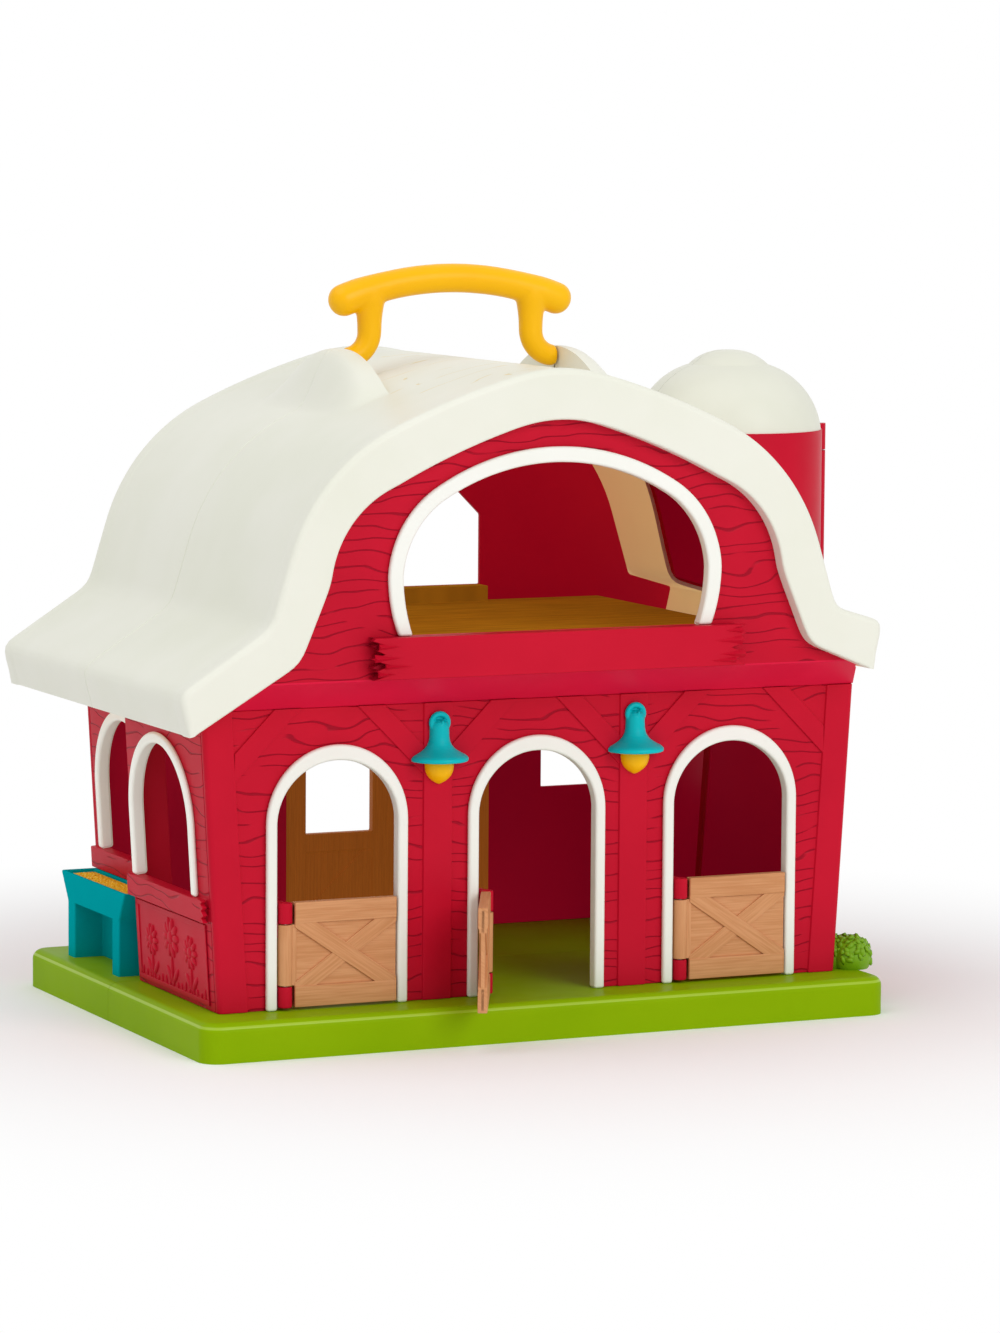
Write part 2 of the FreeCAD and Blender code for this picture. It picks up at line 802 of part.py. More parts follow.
def make_gate():
    """Stable gate that fills the rear opening: posts, head rail, boarded lower half and two braces."""
    x0 = gate_x - gate_half + seat_gap
    x1 = gate_x + gate_half - seat_gap
    y1 = wall_rear
    y0 = y1 - gate_thick
    z0 = base_height
    z1 = up(gate_height) - seat_gap
    mid = z0 + gate_panel_height
    centre = gate_x
    bars = [
        box(x0, x0 + gate_post, y0, y1, z0, z1),
        box(x1 - gate_post, x1, y0, y1, z0, z1),
        box(centre - gate_post, centre + gate_post, y0, y1, z0, z1),
        box(x0, x1, y0, y1, z1 - gate_post, z1),
        box(x0, x1, y0, y1, z0, z0 + gate_post),
        box(x0, x1, y0, y1, mid - gate_post, mid),
    ]
    boards = box(x0, x1, y0 + gate_thick / 4, y1 - gate_thick / 4, z0, mid)
    return fuse(boards, *bars)


# Loft floors
def make_floor(front):
    top = up(floor_top)
    if front:
        y0 = gable_front + panel + seat_gap
        return box(-floor_half, floor_half, y0, front_edge, top - floor_thick, top)
    y1 = wall_rear - panel - seat_gap
    slab = box(-floor_half, floor_half, rear_edge, y1, top - floor_thick, top)
    sill_depth = 2 * floor_rest
    sill = box(-rear_loft_half, rear_loft_half, y1 - sill_depth, y1, top - floor_thick / 2, up(rear_loft_foot))
    return fuse(slab, sill)


# Silo halves with hinge knuckles, and the dome
def barn_inside():
    """The barn's own volume, which the silo wall doesn't enter."""
    reach = wall_half
    top = up(ridge)
    steps = [[(-far, top)], [(reach + lean_slope * ridge, top)], [(reach, base_height)], [(reach, 0)]]
    prism = thick_y(outline((-far, 0), steps, on_front(0)), -far, far)
    return prism.common(roof_room(-far, far, -roof_skin))


def knuckle_spans(front):
    spans = []
    for n in range(len(hinge_breaks) - 1):
        if (n % 2 == 1) == front:
            spans.append((up(hinge_breaks[n]) + seam_gap / 2, up(hinge_breaks[n + 1]) - seam_gap / 2))
    return spans


def make_silo(front):
    top = up(silo_height)
    tube = cut(post(silo_x, seam_y, base_height, top, silo_radius), silo_core)
    shape = cut(tube, barn_inside())
    shape = before_seam(shape) if front else behind_seam(shape)
    web_half = hinge_radius - hinge_web_ease
    web_y0 = seam_y - web_half if front else rear_edge
    web_y1 = front_edge if front else seam_y + web_half
    for z0, z1 in knuckle_spans(front):
        web = box(silo_x + silo_radius - silo_skin, hinge_x, web_y0, web_y1, z0, z1)
        shape = fuse(shape, web, post(hinge_x, seam_y, z0, z1, hinge_radius))
    dome_room = post(silo_x, seam_y, top, far, silo_radius)
    shape = cut(shape, dome_room, post(hinge_x, seam_y, 0, far, hinge_pin_radius + run_gap))
    biggest = max(shape.Solids, key=lambda solid: solid.Volume)
    return biggest


def make_hinge_pin():
    return post(hinge_x, seam_y, up(hinge_breaks[0]), up(hinge_breaks[-1]), hinge_pin_radius)


def dome_solid(inset, foot):
    radius = silo_radius - dome_inset - inset
    top = up(silo_height) + dome_rise - inset
    shoulder = top - dome_knob_rise
    mid = (radius * dome_full_out, foot + (shoulder - foot) * dome_full_up)
    knob = dome_knob_radius - inset / 2
    knob_mid = (knob * knob_full_out, shoulder + dome_knob_rise * knob_full_up)
    steps = [[(radius, foot)], [mid, (knob, shoulder)], [knob_mid, (0, top)]]
    face = outline((0, foot), steps, on_front(0))
    solid = face.revolve(V(0, 0, 0), V(0, 0, 1), 360)
    solid.translate(V(silo_x, seam_y, 0))
    return solid


def make_dome(front):
    foot = up(silo_height)
    shell = cut(dome_solid(0.0, foot), dome_solid(dome_skin, foot - past))
    shell = cut(shell, roof_room(-far, far, -roof_skin - seat_gap))
    return before_seam(shell) if front else behind_seam(shell)


# Carrying handle
def bent_rod(start, along, centre, axis, angle, radius):
    """A round rod that starts at a point in a direction and turns about an axis by an angle."""
    ring = Part.Face(Part.Wire([Part.Circle(start, along, radius).toShape()]))
    return ring.revolve(centre, axis, angle)


def make_handle():
    y = seam_y
    axis_z = up(pivot_z)
    rise = grip_top_z - grip_end_z
    bow_radius = (grip_half ** 2 + rise ** 2) / (2 * rise)
    drop = bow_radius - rise
    half_angle = math.degrees(math.asin(grip_half / bow_radius))
    left = V(-grip_half, y, up(grip_end_z))
    right = V(grip_half, y, up(grip_end_z))
    hub = V(0, y, up(grip_top_z) - bow_radius)
    grip = bent_rod(left, V(drop, 0, grip_half), hub, V(0, 1, 0), 2 * half_angle, grip_radius)
    pieces = [Part.makeSphere(knob_radius, point, V(0, 1, 0)) for point in (left, right)]
    bend = pivot_x - foot_gap - leg_x
    turn_z = axis_z + bend
    for side in sides.values():
        pieces.append(post(side * leg_x, y, turn_z, up(grip_end_z) + grip_radius / 2, leg_radius))
        turn = V(side * leg_x, y, turn_z)
        middle = V(side * (leg_x + bend), y, turn_z)
        pieces.append(bent_rod(turn, V(0, 0, -1), middle, V(0, -side, 0), 90, leg_radius))
    shape = fuse(grip, *pieces)
    for side in sides.values():
        inner = side * (pivot_x - pivot_reach)
        shape = cut(shape, rod_x(inner, side * pivot_x, y, axis_z, pivot_pin_radius + run_gap))
    return shape


def make_handle_pins():
    pins = []
    for side in sides.values():
        inner = side * (pivot_x - pivot_reach + foot_gap)
        outer = side * (pivot_x + pivot_reach - foot_gap)
        pins.append(rod_x(inner, outer, seam_y, up(pivot_z), pivot_pin_radius))
    return Part.makeCompound(pins)


# Lamps: half-round mouldings on the lamp posts
def on_lamp_post(shape, side, flat):
    squash = FreeCAD.Matrix()
    squash.A22 = flat
    shape = shape.transformGeometry(squash)
    shape.translate(V(side * lamp_x, wall_front - post_proud - lamp_stand, 0))
    return shape.common(box(-far, far, -far, wall_front - post_proud, 0, far))


def turned(start, steps):
    return outline(start, steps, on_front(0)).revolve(V(0, 0, 0), V(0, 0, 1), 360)


def make_shade(side):
    z0 = up(lamp_foot)
    z1 = z0 + shade_height
    z2 = z1 + neck_height
    flare_out = neck_radius + (shade_radius - neck_radius) * (1 - shade_full_out)
    steps = [[(shade_radius, z0)], [(flare_out, z0 + shade_height * shade_full_up), (neck_radius, z1)],
             [(neck_radius, z2)], [(0, z2)]]
    body = on_lamp_post(turned((0, z0), steps), side, lamp_flat)
    front = wall_front - post_proud - ring_thick
    eye_z = z2 + ring_radius / 4
    ring = Part.makeCylinder(ring_radius, ring_thick, V(side * lamp_x, front, z2), V(0, 1, 0))
    eye = Part.makeCylinder(ring_hole, ring_thick, V(side * lamp_x, front, eye_z), V(0, 1, 0))
    return cut(fuse(body, ring), eye)


def make_bulb(side):
    z0 = up(lamp_foot)
    collar = z0 - bulb_drop * bulb_collar
    steps = [[(bulb_radius, z0)], [(bulb_radius, collar)],
             [(bulb_radius * bulb_full_out, z0 - bulb_drop * bulb_full_up), (0, z0 - bulb_drop)]]
    return on_lamp_post(turned((0, z0), steps), side, bulb_flat)


# Feed trough, feed and bush
def trough_box():
    x1 = -wall_half + rear_inset - lean_slope * (trough_foot + trough_depth) - trough_clear
    return x1 - trough_width, x1


def trough_ends():
    return rear_edge + trough_clear, wall_rear - trough_corner


def trough_solid(inset, z0, z1):
    x0, x1 = trough_box()
    y0, y1 = trough_ends()
    inner = x1 - inset
    low = (x0 + trough_splay + inset, y0 + trough_rake + inset, y1 - trough_rake_rear - inset)
    high = (x0 + inset, y0 + inset, y1 - inset)
    wires = []
    for (outer, near, back), z in ((low, z0), (high, z1)):
        corners = [(outer, near), (inner, near), (inner, back), (outer, back), (outer, near)]
        wires.append(Part.makePolygon([V(x, y, z) for x, y in corners]))
    return Part.makeLoft(wires, True, True)


def make_trough():
    x0, x1 = trough_box()
    y0, y1 = trough_ends()
    z0 = up(trough_foot)
    z1 = z0 + trough_depth
    shape = cut(trough_solid(0, z0, z1), trough_solid(trough_wall, z0 + trough_wall, z1))
    leg_x = x0 + trough_splay
    low = y0 + trough_rake
    high = y1 - trough_rake_rear
    legs = [box(leg_x, x1, near, near + trough_leg, base_height, z0) for near in (low, high - trough_leg)]
    back = box(x1 - trough_wall, x1, low, high, base_height, z0)
    return fuse(shape, back, *legs)


def make_feed():
    z1 = up(trough_foot) + trough_depth
    body = trough_solid(trough_wall + seat_gap, up(trough_foot) + trough_wall, z1)
    return body.common(box(-far, far, -far, far, up(trough_foot) + trough_wall, z1 - feed_drop))


def make_bush():
    # Tufts: steps along X and Y, and each one's size beside the first
    spots = [(0, 0, 1.0), (-0.75, 0.7, 0.9), (0.5, 0.9, 0.85), (-0.6, 1.7, 0.95), (0.5, 1.9, 0.8)]
    spots.append((0.1, 2.7, 0.7))
    balls = []
    for dx, dy, size in spots:
        place = V(bush_x + dx * bush_step, bush_y + dy * bush_step, up(bush_lift))
        balls.append(Part.makeSphere(bush_radius * size, place))
    above = box(-far, far, -far, far, base_height, far)
    clear = lean(box(wall_half + seam_gap, far, -far, far, 0, far), 1)
    return fuse(balls[0], *balls[1:]).common(above).common(clear)


def build():
    nodes = {}
    for front in (True, False):
        half = "front" if front else "rear"
        nodes["base_" + half] = make_tray(front)
        nodes["base_plate_" + half] = make_plate(front)
        nodes["base_screws_" + half] = make_screws(front)
        nodes["loft_floor_" + half] = make_floor(front)
        nodes["silo_" + half] = make_silo(front)
        nodes["silo_dome_" + half] = make_dome(front)
        nodes["window_trim_" + half] = make_window_trim(front)
        for name in sides:
            nodes["wall_" + name + "_" + half] = make_side_wall(name, front)
    nodes["front_wall"] = make_front_wall()
    nodes["front_gable"] = make_gable()
    nodes["loft_trim"] = make_loft_trim()
    nodes["loft_plank"] = make_plank()
    nodes["roof_front"] = make_roof_front()
    nodes["roof_rear"] = make_roof_rear()
    nodes["rear_wall"] = make_rear_wall()
    nodes["rear_gate"] = make_gate()
    for name, centre in zip(door_names, door_centres):
        opened = middle_leaf_open if name == "middle" else 0.0
        nodes["door_trim_" + name] = make_door_trim(centre)
        nodes["door_" + name] = make_leaf(centre, opened)
    nodes["door_pins"] = make_door_pins()
    for name, side in sides.items():
        nodes["lamp_shade_" + name] = make_shade(side)
        nodes["lamp_bulb_" + name] = make_bulb(side)
    nodes["handle"] = make_handle()
    nodes["handle_pins"] = make_handle_pins()
    nodes["hinge_pin"] = make_hinge_pin()
    nodes["trough"] = make_trough()
    nodes["trough_feed"] = make_feed()
    nodes["bush"] = make_bush()
    return nodes


os.makedirs("parts", exist_ok=True)
for node, shape in build().items():
    solids = shape.Solids
    shape = solids[0] if len(solids) == 1 else Part.makeCompound(solids)
    shape.exportStep("parts/" + node + ".step")
    state = "valid" if shape.isValid() else "NOT VALID"
    print(node, len(solids), "solids", round(shape.Volume), "mm3", state)
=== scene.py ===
import json
import math

import bmesh
import bpy
from mathutils import Matrix, Vector

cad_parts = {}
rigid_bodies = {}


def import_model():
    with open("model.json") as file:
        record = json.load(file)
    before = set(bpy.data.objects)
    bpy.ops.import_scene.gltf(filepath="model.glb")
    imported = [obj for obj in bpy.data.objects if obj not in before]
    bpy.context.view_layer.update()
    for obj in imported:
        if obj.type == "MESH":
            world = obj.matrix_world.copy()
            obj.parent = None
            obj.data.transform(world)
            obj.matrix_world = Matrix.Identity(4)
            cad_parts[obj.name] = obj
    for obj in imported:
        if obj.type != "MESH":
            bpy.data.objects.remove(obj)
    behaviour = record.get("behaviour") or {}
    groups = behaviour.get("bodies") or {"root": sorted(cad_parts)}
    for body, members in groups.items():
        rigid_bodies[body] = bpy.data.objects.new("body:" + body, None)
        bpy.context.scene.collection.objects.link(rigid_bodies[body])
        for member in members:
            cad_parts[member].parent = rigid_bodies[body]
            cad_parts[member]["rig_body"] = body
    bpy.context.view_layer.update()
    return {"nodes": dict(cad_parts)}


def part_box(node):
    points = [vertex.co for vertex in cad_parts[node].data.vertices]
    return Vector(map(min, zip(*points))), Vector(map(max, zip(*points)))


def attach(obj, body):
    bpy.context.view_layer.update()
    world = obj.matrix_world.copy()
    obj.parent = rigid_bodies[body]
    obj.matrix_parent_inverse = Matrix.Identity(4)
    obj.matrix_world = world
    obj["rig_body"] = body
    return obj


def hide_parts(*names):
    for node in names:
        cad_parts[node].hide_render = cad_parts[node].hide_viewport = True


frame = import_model()
nodes = frame["nodes"]
scene = bpy.context.scene
scene.view_settings.view_transform = "Standard"
mm = 0.001
print("stage: frame loaded,", len(nodes), "nodes")


def addObject(name, data):
    made = bpy.data.objects.new(name, data)
    scene.collection.objects.link(made)
    return made


# camera on the front left corner, fitted to the photograph
cameraSet = {
    "target": (0.023722, 0.0, 0.156028), "distance": 2.44446, "yaw": 24.766, "elevation": 6.162, "roll": 0.405,
    "lens": 141.03, "sensor": 36.0, "clipEnd": 50.0,
}


def placeCamera(values):
    yaw, rise, roll = (math.radians(values[key]) for key in ("yaw", "elevation", "roll"))
    back = Vector((-math.sin(yaw) * math.cos(rise), -math.cos(yaw) * math.cos(rise), math.sin(rise)))
    right = Vector((math.cos(yaw), -math.sin(yaw), 0.0))
    data = bpy.data.cameras.new("photoCamera")
    data.lens, data.sensor_width, data.clip_end = values["lens"], values["sensor"], values["clipEnd"]
    camera = addObject("photoCamera", data)
    axes = Matrix((right, back.cross(right), back)).transposed().to_4x4()
    spot = Vector(values["target"]) + back * values["distance"]
    camera.matrix_world = Matrix.Translation(spot) @ axes @ Matrix.Rotation(roll, 4, "Z")
    scene.camera = camera


placeCamera(cameraSet)
print("stage: camera placed")


# node helpers: a value is a socket to link or a constant to set
def plug(tree, socket, value):
    if isinstance(value, bpy.types.NodeSocket):
        tree.links.new(value, socket)
    elif value is not None:
        socket.default_value = value


def addNode(tree, kind, settings=None, values=(), **named):
    made = tree.nodes.new(kind)
    for name, value in (settings or {}).items():
        setattr(made, name, value)
    for socket, value in zip(made.inputs, values):
        plug(tree, socket, value)
    for name, value in named.items():
        plug(tree, made.inputs[name.replace("_", " ")], value)
    return made


def mathNode(tree, operation, *values):
    return addNode(tree, "ShaderNodeMath", {"operation": operation}, values).outputs[0]


def scaled(tree, value, factor):
    return mathNode(tree, "MULTIPLY", value, factor)


def noiseNode(tree, vector, scale, detail, roughness):
    return addNode(tree, "ShaderNodeTexNoise", Vector=vector, Scale=scale, Detail=detail,
                   Roughness=roughness).outputs["Fac"]


def stepNode(tree, value, low, high, start=0.0, end=1.0):
    return addNode(tree, "ShaderNodeMapRange", {"interpolation_type": "SMOOTHSTEP"}, Value=value, From_Min=low,
                   From_Max=high, To_Min=start, To_Max=end).outputs["Result"]


def mixColour(tree, factor, first, second):
    made = addNode(tree, "ShaderNodeMix", {"data_type": "RGBA"})
    for index, value in ((0, factor), (6, first), (7, second)):  # the colour sockets of the node
        plug(tree, made.inputs[index], value)
    return made.outputs[2]


def splitVector(tree, vector):
    return addNode(tree, "ShaderNodeSeparateXYZ", Vector=vector).outputs


# two coordinates, each stretched by its own scale, and a seed
def stretched(tree, first, second, scales, seed):
    parts = (scaled(tree, first, scales[0]), scaled(tree, second, scales[1]), seed)
    return addNode(tree, "ShaderNodeCombineXYZ", None, parts).outputs[0]


def bumpNode(tree, height, distance, strength, before=None):
    return addNode(tree, "ShaderNodeBump", Distance=distance, Strength=strength, Height=height,
                   Normal=before).outputs["Normal"]


def groupNode(tree, group, **values):
    return addNode(tree, "ShaderNodeGroup", {"node_tree": group}, **values).outputs


def newGroup(name, inputs, outputs):
    tree = bpy.data.node_groups.new(name, "ShaderNodeTree")
    for way, sockets in (("INPUT", inputs), ("OUTPUT", outputs)):
        for label, kind in sockets.items():
            tree.interface.new_socket(name=label, in_out=way, socket_type="NodeSocket" + kind)
    return tree, tree.nodes.new("NodeGroupInput").outputs, tree.nodes.new("NodeGroupOutput").inputs


# soft mottling, satin unevenness and fine orange peel of moulded plastic; noises are scale, detail, roughness
moulded = {"cloud": (14.0, 3.0, 0.55), "cloudSpan": (0.3, 0.75), "satin": (90.0, 2.0, 0.5), "satinDepth": 0.12,
           "peel": (420.0, 1.0, 0.4), "peelHeight": 0.00004}


def buildMouldedTone():
    tree, given, result = newGroup(
        "mouldedTone", {"Vector": "Vector", "Colour": "Color", "Shade": "Color", "Roughness": "Float"},
        {"Colour": "Color", "Roughness": "Float", "Height": "Float"})
    point, depth = given["Vector"], moulded["satinDepth"]
    cloud = stepNode(tree, noiseNode(tree, point, *moulded["cloud"]), *moulded["cloudSpan"])
    plug(tree, result["Colour"], mixColour(tree, cloud, given["Colour"], given["Shade"]))
    uneven = mathNode(tree, "MULTIPLY_ADD", noiseNode(tree, point, *moulded["satin"]), depth, -depth / 2)
    plug(tree, result["Roughness"], mathNode(tree, "ADD", uneven, given["Roughness"]))
    plug(tree, result["Height"], noiseNode(tree, point, *moulded["peel"]))
    return tree


# contour lines of a wandering field: long strokes with loops and knots, as cut into the mould
engraved = {"wave": (30.0, 62.0), "waveNoise": (1.0, 1.5, 0.35), "core": 0.35, "patch": (26.0, 130.0),
            "patchNoise": (1.0, 1.0, 0.4), "patchSeed": 7.0, "fade": 0.03, "strength": 0.8}


def buildEngravedGrain():
    labels = ("Along", "Up", "Spacing", "Wander", "Width", "Broken", "Seed")
    tree, given, result = newGroup("engravedGrain", dict.fromkeys(labels, "Float"), {"Line": "Float"})
    along, up, width, broken = (given[key] for key in ("Along", "Up", "Width", "Broken"))
    wave = stretched(tree, along, up, engraved["wave"], given["Seed"])
    drift = scaled(tree, noiseNode(tree, wave, *engraved["waveNoise"]), given["Wander"])
    field = mathNode(tree, "ADD", mathNode(tree, "DIVIDE", up, given["Spacing"]), drift)
    off = mathNode(tree, "ABSOLUTE", mathNode(tree, "SUBTRACT", mathNode(tree, "FRACT", field), 0.5))
    stroke = stepNode(tree, off, scaled(tree, width, engraved["core"]), width, 1.0, 0.0)
    patch = stretched(tree, along, up, engraved["patch"], mathNode(tree, "ADD", given["Seed"], engraved["patchSeed"]))
    low, high = (mathNode(tree, way, broken, engraved["fade"]) for way in ("SUBTRACT", "ADD"))
    cover = stepNode(tree, noiseNode(tree, patch, *engraved["patchNoise"]), low, high)
    plug(tree, result["Line"], mathNode(tree, "MULTIPLY", stroke, cover))
    return tree


# fine streaks along a board
streaked = {"fine": (45.0, 1100.0), "fineNoise": (1.0, 2.0, 0.55), "fineShare": 0.6, "broad": (16.0, 170.0),
            "broadNoise": (1.0, 2.0, 0.5), "broadShare": 0.4, "span": (0.36, 0.66), "strength": 0.6}


def buildBoardStreak():
    tree, given, result = newGroup(
        "boardStreak", {"Along": "Float", "Across": "Float", "Colour": "Color", "Dark": "Color", "Seed": "Float"},
        {"Colour": "Color", "Height": "Float"})
    layers = []
    for name in ("fine", "broad"):
        place = stretched(tree, given["Along"], given["Across"], streaked[name], given["Seed"])
        layers.append(scaled(tree, noiseNode(tree, place, *streaked[name + "Noise"]), streaked[name + "Share"]))
    both = mathNode(tree, "ADD", *layers)
    dark = stepNode(tree, both, *streaked["span"])
    plug(tree, result["Colour"], mixColour(tree, dark, given["Colour"], given["Dark"]))
    plug(tree, result["Height"], both)
    return tree


mouldedTone = buildMouldedTone()
engravedGrain = buildEngravedGrain()
boardStreak = buildBoardStreak()


def srgb(*levels):
    shares = [level / 255.0 for level in levels]
    return tuple(s / 12.92 if s <= 0.04045 else ((s + 0.055) / 1.055) ** 2.4 for s in shares) + (1.0,)


def startMaterial(name):
    made = bpy.data.materials.new(name)
    made.use_nodes = True
    tree = made.node_tree
    return made, tree, tree.nodes["Principled BSDF"].inputs, tree.nodes.new("ShaderNodeTexCoord").outputs


# glow is painted light: an emission that lifts shaded places, standing in for daylight that thin walls let through and
# light bounced inside
def wireLook(tree, shader, look, colour, roughness, normal):
    plug(tree, shader["Base Color"], colour)
    plug(tree, shader["Roughness"], roughness)
    plug(tree, shader["Normal"], normal)
    shader["Specular IOR Level"].default_value = look["gloss"]
    if "glow" in look:
        shader["Emission Color"].default_value = srgb(*look["glow"])
        shader["Emission Strength"].default_value = look["glowStrength"]


# moulded plastic; grain cuts dark strokes into it
def plastic(name, look, grain=None):
    made, tree, shader, place = startMaterial(name)
    point = place["Object"]
    tone = groupNode(tree, mouldedTone, Vector=point, Colour=srgb(*look["colour"]), Shade=srgb(*look["shade"]),
                     Roughness=look["roughness"])
    colour, normal = tone["Colour"], bumpNode(tree, tone["Height"], moulded["peelHeight"], look["peel"])
    if grain:
        parts = splitVector(tree, point)
        values = {key.capitalize(): grain[key] for key in ("spacing", "wander", "width", "broken", "seed")}
        line = groupNode(tree, engravedGrain, Along=parts[grain["along"]], Up=parts[grain["up"]], **values)["Line"]
        colour = mixColour(tree, scaled(tree, line, grain["strength"]), colour, srgb(*grain["colour"]))
        proud = mathNode(tree, "SUBTRACT", 1.0, line)
        normal = bumpNode(tree, proud, grain["depth"], engraved["strength"], normal)
    wireLook(tree, shader, look, colour, tone["Roughness"], normal)
    return made


# plastic boards with streaks along them, in metres of the object's place or of the piece's own UV map
def boarding(name, look):
    made, tree, shader, place = startMaterial(name)
    parts = splitVector(tree, place[look["space"]])
    colour = srgb(*look["colour"])
    streak = groupNode(tree, boardStreak, Along=parts[look["along"]], Across=parts[look["across"]], Colour=colour,
                       Dark=srgb(*look["dark"]), Seed=look["seed"])
    tone = groupNode(tree, mouldedTone, Vector=place["Object"], Colour=colour, Shade=colour,
                     Roughness=look["roughness"])
    normal = bumpNode(tree, streak["Height"], look["depth"], streaked["strength"])
    wireLook(tree, shader, look, streak["Colour"], tone["Roughness"], normal)
    return made


redLook = {"colour": (200, 18, 46), "shade": (190, 14, 42), "roughness": 0.4, "peel": 0.12, "gloss": 0.08}
creamLook = {"colour": (243, 243, 236), "shade": (238, 239, 230), "roughness": 0.38, "peel": 0.1, "gloss": 0.2}
roofLook = dict(creamLook, colour=(234, 234, 222), shade=(229, 230, 215))
grassLook = {"colour": (138, 174, 6), "shade": (131, 168, 4), "roughness": 0.36, "peel": 0.12, "gloss": 0.02}
tealLook = {"colour": (2, 166, 174), "shade": (2, 157, 166), "roughness": 0.34, "peel": 0.1, "gloss": 0.0}
yellowLook = {"colour": (252, 190, 4), "shade": (249, 182, 2), "roughness": 0.33, "peel": 0.1, "gloss": 0.18}
leafLook = {"colour": (140, 186, 20), "shade": (112, 160, 14), "roughness": 0.42, "peel": 0.15, "gloss": 0.25}
feedLook = {"colour": (250, 196, 20), "shade": (236, 172, 10), "roughness": 0.5, "peel": 0.2, "gloss": 0.25}
doorLook = {"colour": (214, 154, 108), "dark": (199, 137, 90), "roughness": 0.5, "gloss": 0.15, "depth": 0.0002,
            "seed": 2.0, "space": "UV", "along": "X", "across": "Y"}
# the gate's and the loft floor's glow is painted light in the shaded inside
gateLook = {"colour": (150, 84, 26), "dark": (122, 64, 16), "roughness": 0.5, "gloss": 0.1, "depth": 0.0003,
            "seed": 5.0, "space": "Object", "along": "Z", "across": "X", "glow": (160, 88, 28), "glowStrength": 0.42}
loftLook = {"colour": (182, 130, 30), "dark": (144, 97, 18), "roughness": 0.45, "gloss": 0.0, "depth": 0.0004,
            "seed": 8.0, "space": "Object", "along": "X", "across": "Y", "glow": (150, 106, 28), "glowStrength": 0.2}
wallGrain = {"along": "X", "up": "Z", "spacing": 0.006, "wander": 3.0, "width": 0.07, "broken": 0.4, "seed": 3.0,
             "colour": (150, 8, 34), "strength": 0.85, "depth": 0.0004}
crestGrain = {"along": "X", "up": "Y", "spacing": 0.019, "wander": 2.4, "width": 0.04, "broken": 0.52, "seed": 15.0,
              "colour": (226, 204, 140), "strength": 0.75, "depth": 0.0003}
steelLook = {"light": (206, 208, 210), "dark": (176, 178, 182), "streak": (900.0, 2.0, 0.5), "span": (0.3, 0.7),
             "roughness": (0.28, 0.42)}

barnRed = plastic("barnRed", redLook)
barnRedGrain = plastic("barnRedGrain", redLook, wallGrain)
# painted light: inner faces of the red walls glow a purple-red, standing in for light in the shaded inside
barnRedInsidePaintedGlow = plastic("barnRedInsidePaintedGlow", dict(redLook, glow=(166, 0, 54), glowStrength=0.14))
# painted light: a lighter red for the gable's sloping band, offsetting the shade it takes from sloping downwards
barnRedBandPaintedLight = plastic("barnRedBandPaintedLight", dict(redLook, colour=(228, 29, 68), shade=(218, 24, 62)))
# painted shade: a darker red for the plank's cut ends and lower board and the sill's end face, where shade falls in
# notches and hollow ends
barnRedPaintedShade = plastic("barnRedPaintedShade", dict(redLook, colour=(172, 12, 40), shade=(160, 9, 36)))
barnRedSide = plastic("barnRedSide", redLook, dict(wallGrain, along="Y", seed=9.0))
cream = plastic("cream", creamLook)
# painted light: the window trims glow a little so their shaded reveals look lit
sideCreamPaintedGlow = plastic("sideCreamPaintedGlow", dict(creamLook, glow=(240, 238, 226), glowStrength=0.12))
roofCream = plastic("roofCream", roofLook)
domeCream = plastic("domeCream", dict(roofLook, colour=(228, 228, 215), shade=(222, 223, 207)))
crestCream = plastic("crestCream", roofLook, crestGrain)
# painted light: the roof's underside is tinted tan and glows, standing in for light let through the cream roof and
# bounced inside
roofInside = plastic("roofInside", dict(creamLook, colour=(226, 200, 150), shade=(214, 186, 134),
                                        glow=(230, 198, 138), glowStrength=0.36))
grassGreen = plastic("grassGreen", grassLook)
# painted highlight: lighter, glossier green for a line along the tray's rounded rim
grassPaintedHighlight = plastic("grassPaintedHighlight", dict(grassLook, colour=(160, 192, 44), shade=(154, 188, 36), gloss=0.3))
tealPlastic = plastic("tealPlastic", tealLook)
lampTeal = plastic("lampTeal", dict(tealLook, colour=(2, 190, 196), shade=(2, 181, 188), gloss=0.12))
yellowPlastic = plastic("yellowPlastic", yellowLook)
leafGreen = plastic("leafGreen", leafLook)
feedYellow = plastic("feedYellow", feedLook)
doorWood = boarding("doorWood", doorLook)
gateWood = boarding("gateWood", gateLook)
loftWood = boarding("loftWood", loftLook)


def steelMaterial():
    made, tree, shader, place = startMaterial("pinSteel")
    streak = noiseNode(tree, place["Object"], *steelLook["streak"])
    plug(tree, shader["Base Color"], mixColour(tree, streak, srgb(*steelLook["light"]), srgb(*steelLook["dark"])))
    plug(tree, shader["Roughness"], stepNode(tree, streak, *steelLook["span"], *steelLook["roughness"]))
    shader["Metallic"].default_value = 1.0
    return made


pinSteel = steelMaterial()
print("stage: materials made")


# light: an even white surround, a large lamp by the camera and a weaker one overhead
studio = {
    "surround": 0.62, "aim": (0.0, 0.0, 0.15),
    "lamps": {"keyLamp": {"spot": (0.55, -2.3, 1.25), "size": 1.5, "power": 21.0},
              "topLamp": {"spot": (-0.9, -0.1, 1.9), "size": 1.8, "power": 11.0}},
    "floorHalf": 12.0, "floorColour": (252, 252, 252), "floorRoughness": 0.9, "whiteFrom": 0.22, "whiteTo": 0.5,
}


def areaLamp(name, values):
    data = bpy.data.lights.new(name, "AREA")
    data.shape, data.size, data.energy = "DISK", values["size"], values["power"]
    lamp = addObject(name, data)
    lamp.location = values["spot"]
    lamp.rotation_euler = (Vector(studio["aim"]) - lamp.location).to_track_quat("-Z", "Y").to_euler()


def seenRays(tree):
    rays = tree.nodes.new("ShaderNodeLightPath").outputs
    seen = mathNode(tree, "MAXIMUM", rays["Is Camera Ray"], rays["Is Glossy Ray"])
    return mathNode(tree, "MAXIMUM", seen, rays["Is Transmission Ray"])


